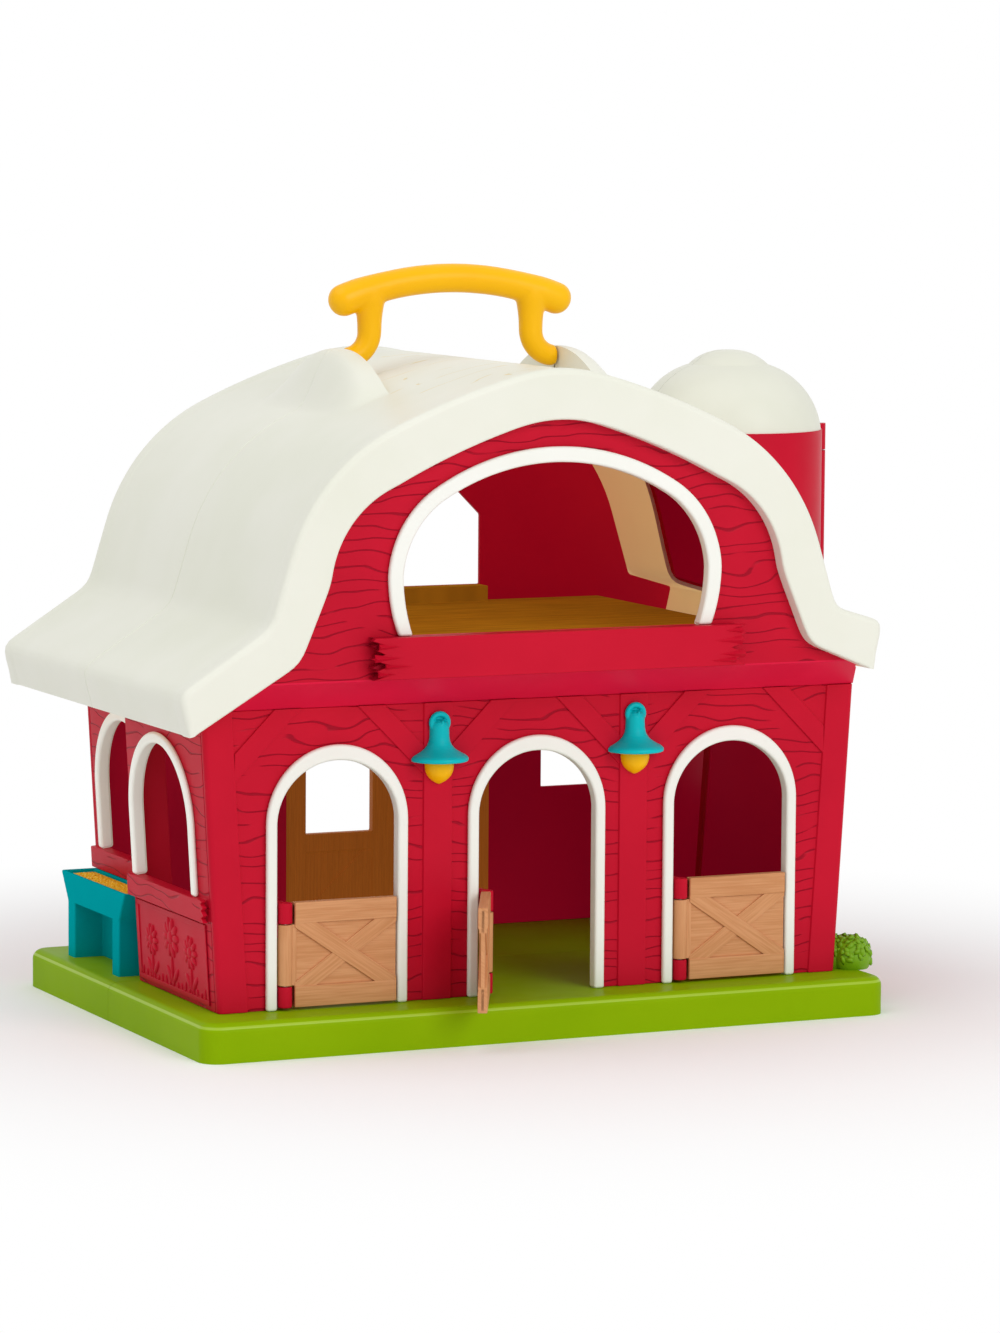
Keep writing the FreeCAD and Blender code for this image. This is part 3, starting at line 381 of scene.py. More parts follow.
# the floor keeps the shadow near the barn and turns white away from it
def layFloor():
    half = studio["floorHalf"]
    mesh = bpy.data.meshes.new("floor")
    mesh.from_pydata([(-half, -half, 0), (half, -half, 0), (half, half, 0), (-half, half, 0)], [], [(0, 1, 2, 3)])
    addObject("floor", mesh)
    made, tree, shader, place = startMaterial("paleFloor")
    shader["Base Color"].default_value = srgb(*studio["floorColour"])
    shader["Roughness"].default_value = studio["floorRoughness"]
    shader["Specular IOR Level"].default_value = 0.0
    reach = addNode(tree, "ShaderNodeVectorMath", {"operation": "LENGTH"}, (place["Object"],)).outputs["Value"]
    white = scaled(tree, stepNode(tree, reach, studio["whiteFrom"], studio["whiteTo"]), seenRays(tree))
    glow = tree.nodes.new("ShaderNodeEmission").outputs[0]
    mix = addNode(tree, "ShaderNodeMixShader", None, (white, tree.nodes["Principled BSDF"].outputs[0], glow))
    plug(tree, tree.nodes["Material Output"].inputs["Surface"], mix.outputs[0])
    mesh.materials.append(made)


def lightStudio():
    world = bpy.data.worlds.new("whiteStudio")
    scene.world = world
    world.use_nodes = True
    tree = world.node_tree
    sky = tree.nodes["Background"].inputs
    sky["Color"].default_value = (1.0, 1.0, 1.0, 1.0)
    plug(tree, sky["Strength"], stepNode(tree, seenRays(tree), 0.0, 1.0, studio["surround"], 1.0))
    for name, values in studio["lamps"].items():
        areaLamp(name, values)
    layFloor()


lightStudio()
print("stage: studio lit")


# mesh helpers; lengths are in millimetres
def nodeShape(nodeName, weld=0.01, flat=0.3):
    source = nodes[nodeName].data
    shape = bmesh.new()
    corners = [shape.verts.new(vert.co) for vert in source.vertices]
    for face in source.polygons:
        shape.faces.new([corners[i] for i in face.vertices])
    bmesh.ops.remove_doubles(shape, verts=shape.verts, dist=weld * mm)
    if flat:
        bmesh.ops.dissolve_limit(shape, angle_limit=math.radians(flat), verts=shape.verts, edges=shape.edges)
    return shape


def sharpEdges(shape, angle=26.0):
    limit = math.radians(angle)
    return [edge for edge in shape.edges if edge.is_manifold and edge.calc_face_angle() > limit]


def roundEdges(shape, edges, width, segments=2):
    bmesh.ops.bevel(shape, geom=edges, offset=width * mm, offset_type="OFFSET", segments=segments, profile=0.5,
                    affect="EDGES", clamp_overlap=False)


# edges to round: not those at the seam of the halves, nor where silo and wall meet
siloAxis = (145.0, 6.0)
keptSharp = {"seamBand": 1.6, "siloBand": (42.0, 47.0)}


def freeEdges(shape):
    kept = []
    for edge in sharpEdges(shape):
        places = [vert.co / mm for vert in edge.verts]
        near, far = keptSharp["siloBand"]
        atSeam = all(abs(place.y - siloAxis[1]) < keptSharp["seamBand"] for place in places)
        atSilo = all(near < math.hypot(place.x - siloAxis[0], place.y - siloAxis[1]) < far for place in places)
        if not atSeam and not atSilo:
            kept.append(edge)
    return kept


# modifiers become a plain mesh
def bakePiece(piece):
    view = bpy.context.evaluated_depsgraph_get()
    baked = bpy.data.meshes.new_from_object(piece.evaluated_get(view))
    piece.modifiers.clear()
    piece.data = baked
    return piece


def shapeObject(name, shape):
    mesh = bpy.data.meshes.new(name)
    shape.to_mesh(mesh)
    shape.free()
    return addObject(name, mesh)


# a piece rides on its node's body and, unless it is extra, takes the node's place
def seat(piece, nodeName, extra=False):
    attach(piece, nodes[nodeName]["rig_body"])
    if not extra:
        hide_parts(nodeName)


def makePiece(nodeName, shape, material, name=None, extra=False, crease=38.0):
    for face in shape.faces:
        face.smooth = True
    for edge in shape.edges:
        edge.smooth = edge.is_manifold and edge.calc_face_angle() < math.radians(crease)
    piece = shapeObject(name or nodeName.replace("_", "."), shape)
    for each in material if isinstance(material, list) else [material]:
        piece.data.materials.append(each)
    piece.modifiers.new("evenNormals", "WEIGHTED_NORMAL").keep_sharp = True
    seat(bakePiece(piece), nodeName, extra)


# rounded copy of a node; reshape may move its vertices first
def softCopy(nodeName, material, edge, segments=2, reshape=None):
    shape = nodeShape(nodeName)
    if reshape:
        reshape(shape, nodeName)
    roundEdges(shape, freeEdges(shape), edge, segments)
    makePiece(nodeName, shape, material)


def dress(nodeName, material):
    mesh = nodes[nodeName].data
    mesh.materials.clear()
    mesh.materials.append(material)


def addShape(target, source):
    held = bpy.data.meshes.new("held")
    source.to_mesh(held)
    source.free()
    target.from_mesh(held)
    bpy.data.meshes.remove(held)


def evaluatedShape(made):
    view = bpy.context.evaluated_depsgraph_get()
    mesh = made.evaluated_get(view).to_mesh()
    shape = bmesh.new()
    shape.from_mesh(mesh)
    made.evaluated_get(view).to_mesh_clear()
    bpy.data.objects.remove(made)
    return shape


def cutShape(shape, tool):
    made, cutter = shapeObject("cutBody", shape), shapeObject("cutTool", tool)
    step = made.modifiers.new("cut", "BOOLEAN")
    step.operation, step.solver, step.object = "DIFFERENCE", "MANIFOLD", cutter
    result = evaluatedShape(made)
    bpy.data.objects.remove(cutter)
    return result


# overlapping solids become one skin with soft inner corners
def meltShape(shape, voxel, passes):
    made = shapeObject("meltBody", shape)
    remesh = made.modifiers.new("melt", "REMESH")
    remesh.mode, remesh.voxel_size = "VOXEL", voxel * mm
    soften = made.modifiers.new("soften", "SMOOTH")
    soften.factor, soften.iterations = 0.5, passes
    return evaluatedShape(made)


# closed prism over an outline; axis is the way it is thick
def prism(points, low, high, axis="Y"):
    shape = bmesh.new()
    ends = []
    for depth in (low, high):
        row = [(a, depth, b) if axis == "Y" else (depth, a, b) for a, b in points]
        ends.append([shape.verts.new(Vector(each) * mm) for each in row])
    shape.faces.new(ends[0])
    shape.faces.new(list(reversed(ends[1])))
    for i in range(len(points)):
        j = (i + 1) % len(points)
        shape.faces.new((ends[0][j], ends[0][i], ends[1][i], ends[1][j]))
    bmesh.ops.recalc_face_normals(shape, faces=shape.faces)
    return shape


# skin over a row of closed loops, with both ends capped or joined to a ring
def loft(loops, ring=False, weld=0.002):
    shape = bmesh.new()
    rows = [[shape.verts.new(Vector(point) * mm) for point in loop] for loop in loops]
    for first, second in zip(rows, rows[1:] + rows[:1] if ring else rows[1:]):
        for k in range(len(first)):
            n = (k + 1) % len(first)
            shape.faces.new((first[k], first[n], second[n], second[k]))
    if not ring:
        shape.faces.new(rows[0])
        shape.faces.new(list(reversed(rows[-1])))
    bmesh.ops.remove_doubles(shape, verts=shape.verts, dist=weld * mm)
    bmesh.ops.recalc_face_normals(shape, faces=shape.faces)
    return shape


def turns(count):
    return [2 * math.pi * k / count for k in range(count)]


def quarterTurns(count):
    return [math.radians(90.0 * k / count) for k in range(count + 1)]


def roundPoints(a, b, radius, count):
    return [(a + radius * math.cos(turn), b + radius * math.sin(turn)) for turn in turns(count)]


# loop about a spot in the plane of two directions
def ringPoints(spot, side, other, radius, count):
    return [spot + (side * math.cos(turn) + other * math.sin(turn)) * radius for turn in turns(count)]


def addRounded(target, points, low, high, edge, axis="Y"):
    shape = prism(points, low, high, axis)
    roundEdges(shape, sharpEdges(shape), edge)
    addShape(target, shape)


def turnAbout(shape, spot, angle, axis):
    pivot, turn = Vector(spot) * mm, Matrix.Rotation(math.radians(angle), 4, axis)
    move = Matrix.Translation(pivot) @ turn @ Matrix.Translation(-pivot)
    bmesh.ops.transform(shape, matrix=move, verts=shape.verts)


def rodX(start, end, y, z, radius, sides=40):
    return prism(roundPoints(y, z, radius, sides), min(start, end), max(start, end), "X")


# turned shape: a profile of (radius, height) about an upright axis
def lathe(profile, spot, sides=48):
    shape = bmesh.new()
    rows = []
    for radius, height in profile:
        around = roundPoints(spot[0], spot[1], radius, sides)[:sides if radius > 0.001 else 1]
        rows.append([shape.verts.new(Vector((x, y, spot[2] + height)) * mm) for x, y in around])
    for first, second in zip(rows, rows[1:]):
        for k in range(sides):
            n = (k + 1) % sides
            corners = (first[k % len(first)], first[n % len(first)], second[n % len(second)], second[k % len(second)])
            shape.faces.new(list(dict.fromkeys(corners)))
    bmesh.ops.recalc_face_normals(shape, faces=shape.faces)
    return shape


# round bar along a path in the XZ plane
def bar(path, radii, depth, sides=28):
    loops = []
    for i, (x, z) in enumerate(path):
        before, after = path[max(i - 1, 0)], path[min(i + 1, len(path) - 1)]
        run = Vector((after[0] - before[0], 0.0, after[1] - before[1])).normalized()
        side, deep = Vector((run.z, 0.0, -run.x)), Vector((0, 1, 0))
        loops.append(ringPoints(Vector((x, depth, z)), side, deep, radii[i], sides))
    return loft(loops)


# side walls lean outwards from their foot on the tray
wallFoot = {"x": 154.0, "z": 17.7, "lean": 3.4}
wallSlope = math.tan(math.radians(wallFoot["lean"]))

# cream trims round the doorways and windows
trimEdge = {"round": 1.3, "segments": 3, "outerBand": 1.5, "crown": 1.0, "innerBand": 0.5, "flush": 3.4}


# a window's trim ends flush with the wall inside
def flushInside(shape, nodeName):
    depths = {vert: vert.co.x + wallSlope * vert.co.z for vert in shape.verts}
    deepest = max(depths.values())
    for vert, depth in depths.items():
        if depth > deepest - trimEdge["innerBand"] * mm:
            vert.co.x -= trimEdge["flush"] * mm


# a doorway's trim grows thicker towards the top of its arch
def thickenCrown(shape, nodeName):
    low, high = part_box(nodeName)
    centre, half = (low.x + high.x) / 2, (high.x - low.x) / 2
    for vert in shape.verts:
        out = Vector((vert.co.x - centre, 0.0, vert.co.z - (high.z - half)))
        if out.z > 0.0:
            way = 1 if out.length > half - trimEdge["outerBand"] * mm else -1
            vert.co.z += way * trimEdge["crown"] * mm * out.z / out.length


for nodeName, material, reshape in (
        ("loft_trim", cream, None), ("window_trim_front", sideCreamPaintedGlow, flushInside),
        ("window_trim_rear", sideCreamPaintedGlow, flushInside), ("door_trim_left", cream, thickenCrown),
        ("door_trim_middle", cream, thickenCrown), ("door_trim_right", cream, thickenCrown)):
    softCopy(nodeName, material, trimEdge["round"], trimEdge["segments"], reshape)
print("stage: trims")


# red walls: grain outside on the panels, smooth posts and insides
wallEdge = {
    "round": 0.6, "facing": 0.6, "postFace": -91.5, "sillFace": -154.6, "sillEnd": -84.0, "sillFacing": -0.7,
    "corner": 2.4, "cornerSegments": 4, "cornerTall": 80.0, "cornerOut": 150.0, "cornerFace": -91.0,
    "eaveFoot": 160.5, "eaveInner": 161.8, "eaveReach": (-3.4, 0.0, 0.7), "siloInside": -10.0,
}
outwards = {"front_wall": (0, -1, 0), "rear_wall": (0, 1, 0), "wall_left_front": (-1, 0, 0),
            "wall_left_rear": (-1, 0, 0), "wall_right_front": (1, 0, 0), "wall_right_rear": (1, 0, 0)}


def isCorner(edge):
    low, high = sorted((vert.co / mm for vert in edge.verts), key=lambda place: place.z)
    return (high.z - low.z > wallEdge["cornerTall"] and min(abs(low.x), abs(high.x)) > wallEdge["cornerOut"]
            and max(low.y, high.y) < wallEdge["cornerFace"])


def makeWall(nodeName):
    out, inFront = Vector(outwards[nodeName]), nodeName == "front_wall"
    shape = nodeShape(nodeName)
    if nodeName.startswith("wall_right"):
        for vert in shape.verts:
            if vert.co.z > wallEdge["eaveFoot"] * mm and vert.co.x < wallEdge["eaveInner"] * mm:
                vert.co += Vector(wallEdge["eaveReach"]) * mm
    if inFront:
        corners = [edge for edge in freeEdges(shape) if isCorner(edge)]
        roundEdges(shape, corners, wallEdge["corner"], wallEdge["cornerSegments"])
    roundEdges(shape, freeEdges(shape), wallEdge["round"])
    shape.normal_update()
    for face in shape.faces:
        middle, facing = face.calc_center_median() / mm, face.normal.dot(out)
        smooth = facing < wallEdge["facing"] or inFront and middle.y < wallEdge["postFace"]
        face.material_index = 1 if smooth else 0
        # faces turned inwards take the inside red with its painted glow
        if facing < -wallEdge["facing"]:
            face.material_index = 3
        # the sill's end face on the left wall is painted shade
        if (nodeName == "wall_left_front" and face.normal.y < wallEdge["sillFacing"]
                and middle.x < wallEdge["sillFace"] and middle.y < wallEdge["sillEnd"]):
            face.material_index = 2
    grained = barnRedSide if out.x else barnRedGrain
    makePiece(nodeName, shape, [grained, barnRed, barnRedPaintedShade, barnRedInsidePaintedGlow])


for nodeName in outwards:
    makeWall(nodeName)


def makeSilo(nodeName):
    shape = nodeShape(nodeName)
    roundEdges(shape, freeEdges(shape), wallEdge["round"])
    shape.normal_update()
    for face in shape.faces:
        middle = face.calc_center_median() / mm
        out = Vector((middle.x - siloAxis[0], middle.y - siloAxis[1], 0.0))
        # inner faces of the silo take the inside red with its painted glow
        face.material_index = 1 if face.normal.dot(out) < wallEdge["siloInside"] else 0
    makePiece(nodeName, shape, [barnRed, barnRedInsidePaintedGlow])


for nodeName in ("silo_front", "silo_rear"):
    makeSilo(nodeName)

# bead in the corner where the silo meets a right wall and the roof
siloBead = {"reach": 45.1, "high": 176.0, "radius": 0.8, "steps": 32, "roofRadius": 1.1, "roofEnd": 163.6,
            "roofFrom": 80.0, "roofSteps": 96, "roofStop": 0.01, "sides": 12}


def makeBead(nodeName, points, radius):
    loops = []
    for i, spot in enumerate(points):
        run = (points[min(i + 1, len(points) - 1)] - points[max(i - 1, 0)]).normalized()
        side = run.cross(Vector((siloAxis[0] - spot.x, siloAxis[1] - spot.y, 0.0))).normalized()
        loops.append(ringPoints(spot, side, run.cross(side), radius, siloBead["sides"]))
    makePiece(nodeName, loft(loops), barnRed, nodeName.replace("_", ".") + ".bead", True)


def wallBead(nodeName, way):
    points = []
    for k in range(siloBead["steps"] + 1):
        z = wallFoot["z"] + (siloBead["high"] - wallFoot["z"]) * k / siloBead["steps"]
        x = wallFoot["x"] + wallSlope * (z - wallFoot["z"])
        y = siloAxis[1] + way * math.sqrt(siloBead["reach"] ** 2 - (x - siloAxis[0]) ** 2)
        points.append(Vector((x, y, z)))
    makeBead(nodeName, points, siloBead["radius"])


wallBead("wall_right_front", -1)
wallBead("wall_right_rear", 1)

# knee braces between the posts and the wall's top
knee = {"edges": ((-146.6, 1), (-55.7, -1), (-41.7, 1), (41.7, -1), (55.7, 1), (146.6, -1)), "top": 152.0,
        "outer": 32.0, "inner": 19.0, "face": -91.8, "back": -90.7, "round": 0.4}


def makeBraces():
    braces = bmesh.new()
    top, outer, inner = knee["top"], knee["outer"], knee["inner"]
    for edge, way in knee["edges"]:
        points = [(edge, top - outer), (edge + way * outer, top), (edge + way * inner, top), (edge, top - inner)]
        addRounded(braces, points, knee["face"], knee["back"], knee["round"])
    makePiece("front_wall", braces, barnRed, "front.braces", True)


makeBraces()

# gable: grain on the upright face; the sloping band under it and the other faces smooth and painted a lighter red to
# undo the shade of the band's downward slope; inside smooth with painted glow; its right end is flush
gableEdge = {"round": 0.6, "weld": 0.4, "bandTop": 165.5, "facing": 0.6, "endFrom": 150.0, "endTop": 172.0,
             "endX": 162.3, "endSlant": 0.46, "wallFace": -91.0}


def makeGable():
    shape = nodeShape("front_gable", gableEdge["weld"])
    for vert in shape.verts:
        if vert.co.x > gableEdge["endFrom"] * mm and vert.co.z < gableEdge["endTop"] * mm:
            ahead = max(gableEdge["wallFace"] - vert.co.y / mm, 0.0)
            vert.co.x = min(vert.co.x, (gableEdge["endX"] - gableEdge["endSlant"] * ahead) * mm)
    roundEdges(shape, sharpEdges(shape), gableEdge["round"])
    shape.normal_update()
    for face in shape.faces:
        low = face.calc_center_median().z < gableEdge["bandTop"] * mm
        face.material_index = 1 if low or face.normal.y > -gableEdge["facing"] else 0
        if face.normal.y > gableEdge["facing"]:
            face.material_index = 2
    makePiece("front_gable", shape, [barnRedGrain, barnRedBandPaintedLight, barnRedInsidePaintedGlow])


makeGable()

# plank under the loft window: a split front board over a shorter one; that board and the cut ends are painted darker,
# as shade in the notches
# teeth are (cut back, height); splinters are (head, tail, height, width)
plank = {
    "half": 92.5, "low": 166.0, "face": -118.0, "layer": -114.6, "back": -110.0, "round": 0.35, "short": 1.5,
    "leftTeeth": ((1.2, 0.0), (7.6, 2.0), (2.4, 3.9), (8.8, 6.4), (0.0, 9.4), (6.4, 11.3), (2.8, 13.0), (7.0, 15.2),
                  (0.6, 17.4), (2.0, 18.5)),
    "rightTeeth": ((0.4, 0.0), (5.0, 3.1), (0.0, 5.4), (7.4, 8.2), (1.7, 10.1), (5.2, 12.4), (0.2, 14.9),
                   (6.0, 16.9), (0.3, 18.5)),
    "splinters": ((-91.0, -76.0, 175.6, 3.6), (-89.4, -79.5, 168.4, 2.6), (-89.0, -77.0, 180.6, 3.0),
                  (-86.0, -71.0, 171.8, 2.4), (91.2, 77.0, 171.4, 4.2), (90.0, 74.0, 177.6, 4.6),
                  (89.6, 80.0, 182.0, 3.0), (86.5, 72.5, 168.6, 3.2)),
    "splinterHeight": 2.1, "splinterSunk": 0.3, "endZone": 80.0, "endFacing": 0.3,
}


# splinter peeling off the plank's face: a wedge from its tail to its raised head
def addSplinter(target, head, tail, z, width):
    root, half = plank["face"] + plank["splinterSunk"], width / 2
    spots = ((tail, root, z), (head, root, z - half), (head, root, z + half),
             (head, plank["face"] - plank["splinterHeight"], z))
    shape = bmesh.new()
    verts = [shape.verts.new(Vector(spot) * mm) for spot in spots]
    for corners in ((0, 1, 2), (0, 1, 3), (0, 2, 3), (1, 2, 3)):
        shape.faces.new([verts[i] for i in corners])
    bmesh.ops.recalc_face_normals(shape, faces=shape.faces)
    addShape(target, shape)


def makePlank():
    whole = bmesh.new()
    half, low = plank["half"], plank["low"]
    for near, far, leftEnd, rightEnd, cutBack in (
            (plank["face"], plank["layer"], "leftTeeth", "rightTeeth", 0.0),
            (plank["layer"], plank["back"], "rightTeeth", "leftTeeth", plank["short"])):
        left = [(-half + cutBack + back, low + rise) for back, rise in plank[leftEnd]]
        right = [(half - cutBack - back, low + rise) for back, rise in plank[rightEnd]]
        shape = prism(right + left[::-1], near, far)
        atFace = [edge for edge in sharpEdges(shape) if all(abs(vert.co.y - near * mm) < 1e-6 for vert in edge.verts)]
        roundEdges(shape, atFace, plank["round"])
        shape.normal_update()
        for face in shape.faces:
            beside = abs(face.calc_center_median().x) > plank["endZone"] * mm
            atEnd = abs(face.normal.y) < plank["endFacing"] and beside
            # cut ends and the lower board are painted shade
            face.material_index = 1 if atEnd or cutBack else 0
        addShape(whole, shape)
    for splinter in plank["splinters"]:
        addSplinter(whole, *splinter)
    makePiece("loft_plank", whole, [barnRed, barnRedPaintedShade])


makePlank()
print("stage: walls")


# roof halves: the gambrel outline lofted from the fascia to the seam, with the handle's mounds raised out of it
gambrel = {
    "lipLeft": (-177.5, 144.4), "tipLeft": (-182.5, 162.8), "tipRight": (164.0, 183.2), "lipRight": (159.0, 161.2),
    "outer": {"knee": (139.5, 190.5), "brow": (130.5, 220.0), "haunch": (84.0, 275.3), "crown": (20.0, 299.1),
              "ridge": (0.0, 301.6)},
    "inner": {"knee": (125.5, 174.5), "brow": (111.0, 209.0), "haunch": (80.0, 251.1), "crown": (20.0, 276.0),
              "ridge": (0.0, 278.9)},
    "browBow": 7.5, "crownBow": 1.6, "skin": 3.0, "fascia": 7.0, "rim": 3.0, "innerRim": 1.3, "rimShare": 0.4,
    "rimBand": 8.0, "sunkRun": 3.0, "sunk": 0.6, "groove": 0.5, "soften": 3, "step": 2.5,
    "front": (-117.0, 5.95), "rear": (115.3, 6.05), "crest": (-104.0, 102.0), "crestFacing": 0.6, "middle": 200.0,
    "insidePast": 0.2, "insideReach": -1.0, "insideLean": 0.5, "rimSteps": 5, "innerRimSteps": 3,
    "slopeSteps": (10, 26, 44, 14), "lipSteps": 6, "eaveSteps": (16, 10), "bendShare": 0.1,
}
mound = {"face": 54.0, "faceWidth": 0.05, "crest": 61.0, "edge": 0.1, "reach": 17.0, "rise": 19.8, "half": 52.0,
         "flat": 2.2, "taper": 1.1, "foot": 284.0, "seam": 6.0, "boss": 2.4, "bossEnd": 60.0, "bossHeight": 301.0,
         "notch": 2.6, "notchFrom": 50.0, "notchPast": 0.5, "faceAbove": 250.0, "faceBand": 1.0}
siloHole = {"radius": 44.7, "low": 120.0, "high": 330.0, "sides": 128}


def between(a, b, share):
    return (a[0] + (b[0] - a[0]) * share, a[1] + (b[1] - a[1]) * share)


def linePoints(start, end, count):
    return [between(start, end, k / count) for k in range(1, count + 1)]


# points after start on the clockwise arc through middle to end
def arcPoints(start, middle, end, count):
    (ax, az), (bx, bz), (cx, cz) = start, middle, end
    spread = 2 * (ax * (bz - cz) + bx * (cz - az) + cx * (az - bz))
    squares = (ax * ax + az * az, bx * bx + bz * bz, cx * cx + cz * cz)
    ux = (squares[0] * (bz - cz) + squares[1] * (cz - az) + squares[2] * (az - bz)) / spread
    uz = (squares[0] * (cx - bx) + squares[1] * (ax - cx) + squares[2] * (bx - ax)) / spread
    radius = math.hypot(ax - ux, az - uz)
    first, last = math.atan2(az - uz, ax - ux), math.atan2(cz - uz, cx - ux)
    if last > first:
        last -= 2 * math.pi
    bends = [first + (last - first) * k / count for k in range(1, count + 1)]
    return [(ux + radius * math.cos(bend), uz + radius * math.sin(bend)) for bend in bends]


def bowed(start, end, bow):
    length = math.hypot(end[0] - start[0], end[1] - start[1])
    return ((start[0] + end[0]) / 2 - bow * (end[1] - start[1]) / length,
            (start[1] + end[1]) / 2 + bow * (end[0] - start[0]) / length)


def slopePoints(points):
    kneeSpot, brow, haunch, crown = ((-points[key][0], points[key][1]) for key in ("knee", "brow", "haunch", "crown"))
    kneeSteps, browSteps, haunchSteps, crownSteps = gambrel["slopeSteps"]
    left = [kneeSpot] + linePoints(kneeSpot, brow, kneeSteps)
    left += arcPoints(brow, bowed(brow, haunch, gambrel["browBow"]), haunch, browSteps)
    left += arcPoints(haunch, bowed(haunch, crown, gambrel["crownBow"]), crown, haunchSteps)
    top = arcPoints(crown, points["ridge"], points["crown"], crownSteps)
    return left + top + [(-x, z) for x, z in reversed(left[:-1])]


def insetLip(lip, tip, way):
    length = math.hypot(tip[0] - lip[0], tip[1] - lip[1])
    return (lip[0] + way * gambrel["skin"] * (tip[1] - lip[1]) / length,
            lip[1] - way * gambrel["skin"] * (tip[0] - lip[0]) / length)


# eave, slopes and eave as one line, with the same count of points for any corners
def eaveToEave(lipLeft, bendLeft, slopes, bendRight, lipRight):
    lip, (left, right) = gambrel["lipSteps"], gambrel["eaveSteps"]
    return ([lipLeft] + linePoints(lipLeft, bendLeft, lip) + linePoints(bendLeft, slopes[0], left)[:-1] + slopes
            + linePoints(slopes[-1], bendRight, right) + linePoints(bendRight, lipRight, lip))


# outer line of the roof and, point for point, the lower line of its fascia
def roofLines():
    corners = [gambrel[key] for key in ("lipLeft", "tipLeft", "tipRight", "lipRight")]
    outer = eaveToEave(*corners[:2], slopePoints(gambrel["outer"]), *corners[2:])
    slopes = slopePoints(gambrel["inner"])
    leftLip, rightLip = insetLip(corners[0], corners[1], 1), insetLip(corners[3], corners[2], -1)
    share = gambrel["bendShare"]
    inner = eaveToEave(leftLip, between(leftLip, slopes[0], share), slopes, between(rightLip, slopes[-1], share),
                       rightLip)
    for line in (outer, inner):
        for _ in range(gambrel["soften"]):
            line[1:-1] = [((a[0] + 2 * b[0] + c[0]) / 4, (a[1] + 2 * b[1] + c[1]) / 4)
                          for a, b, c in zip(line, line[1:], line[2:])]
    face, width = mound["face"], mound["faceWidth"]
    for mark in (-face - width, -face + width, face - width, face + width):
        at = next(i for i in range(len(outer) - 1)
                  if outer[i][0] < mark <= outer[i + 1][0] and outer[i][1] > mound["faceAbove"])
        share = (mark - outer[at][0]) / (outer[at + 1][0] - outer[at][0])
        for line in (outer, inner):
            line.insert(at + 1, between(line[at], line[at + 1], share))
    return outer, inner


def moundHeight(x, y, height):
    out, along = abs(x), abs(y - mound["seam"]) / mound["half"]
    if not mound["face"] <= out <= mound["crest"] + mound["reach"] or along >= 1.0:
        return height
    if out < mound["crest"]:
        swell = 1 - mound["edge"] * ((mound["crest"] - out) / (mound["crest"] - mound["face"])) ** 2
    else:
        swell = math.cos(math.pi / 2 * (out - mound["crest"]) / mound["reach"]) ** 2
    return height + mound["rise"] * swell * (1 - along ** mound["flat"]) ** mound["taper"]


# section through the roof's skin at each point of its outline: rounded rim, top, seam, underside, fascia
def roofLoops(face, seam):
    way = 1 if seam > face else -1
    outer, inner = roofLines()
    start = face + way * (gambrel["rimBand"] + gambrel["sunkRun"])
    stop = seam - way * gambrel["groove"]
    count = math.ceil(abs(seam - start) / gambrel["step"])
    behind = face + way * gambrel["fascia"]
    loops = []
    for i, spot in enumerate(outer):
        before, after = outer[max(i - 1, 0)], outer[min(i + 1, len(outer) - 1)]
        run = Vector((after[0] - before[0], after[1] - before[1])).normalized()
        inward = Vector((run.y, -run.x))
        spot, edge = Vector(spot), Vector(inner[i])
        limit = gambrel["rimShare"] * (edge - spot).length
        rim, innerRim = min(gambrel["rim"], limit), min(gambrel["innerRim"], limit)
        loop = []
        for turn in quarterTurns(gambrel["rimSteps"]):
            place = spot + inward * rim * (1 - math.sin(turn))
            loop.append((place.x, face + way * rim * (1 - math.cos(turn)), place.y))
        for share in (0.0, 0.5, 1.0):
            place = spot + inward * gambrel["sunk"] * share
            loop.append((place.x, face + way * (gambrel["rimBand"] + gambrel["sunkRun"] * share), place.y))
        place = spot + inward * gambrel["sunk"]
        for y in (start + (stop - start) * k / count for k in range(1, count + 1)):
            loop.append((place.x, y, moundHeight(spot.x, y, place.y)))
        low = place + inward * gambrel["groove"]
        loop.append((low.x, seam, moundHeight(spot.x, seam, low.y)))
        under = spot + inward * gambrel["skin"]
        loop += [(under.x, seam, under.y), (under.x, behind, under.y), (edge.x, behind, edge.y)]
        toEdge = (spot - edge).normalized()
        for turn in quarterTurns(gambrel["innerRimSteps"]):
            place = edge + toEdge * innerRim * (1 - math.cos(turn))
            loop.append((place.x, face + way * innerRim * (1 - math.sin(turn)), place.y))
        loops.append(loop)
    return loops


# the pivot pins' bosses stand on the front half and sit in notches of the rear half
def makeRoof(half):
    shape = loft(roofLoops(*gambrel[half]))
    radius, low, high = siloHole["radius"], siloHole["low"], siloHole["high"]
    tool = lathe([(0.0, low), (radius, low), (radius, high), (0.0, high)], siloAxis + (0.0,), siloHole["sides"])
    pivot = (mound["seam"], mound["bossHeight"])
    if half == "rear":
        for side in (-1, 1):
            end = mound["bossEnd"] + mound["notchPast"]
            addShape(tool, rodX(side * mound["notchFrom"], side * end, *pivot, mound["notch"]))
    shape = cutShape(shape, tool)
    if half == "front":
        for side in (-1, 1):
            addShape(shape, rodX(side * mound["face"], side * mound["bossEnd"], *pivot, mound["boss"]))
    shape.normal_update()
    for face in shape.faces:
        middle = face.calc_center_median() / mm
        out = Vector((middle.x, 0.0, middle.z - gambrel["middle"]))
        atMound = abs(abs(middle.x) - mound["face"]) < mound["faceBand"] and middle.z > mound["foot"]
        deep = abs(middle.y - gambrel[half][0]) > gambrel["fascia"] + gambrel["insidePast"]
        inwards = face.normal.dot(out) < gambrel["insideReach"] and abs(face.normal.y) < gambrel["insideLean"]
        # deep inward faces take the roof's inside tint with its painted glow
        if deep and inwards and not atMound:
            face.material_index = 2
        elif (abs(middle.x) < mound["face"] and face.normal.z > gambrel["crestFacing"]
                and gambrel["crest"][0] < middle.y < gambrel["crest"][1]):
            face.material_index = 1
    makePiece("roof_" + half, shape, [roofCream, crestCream, roofInside])


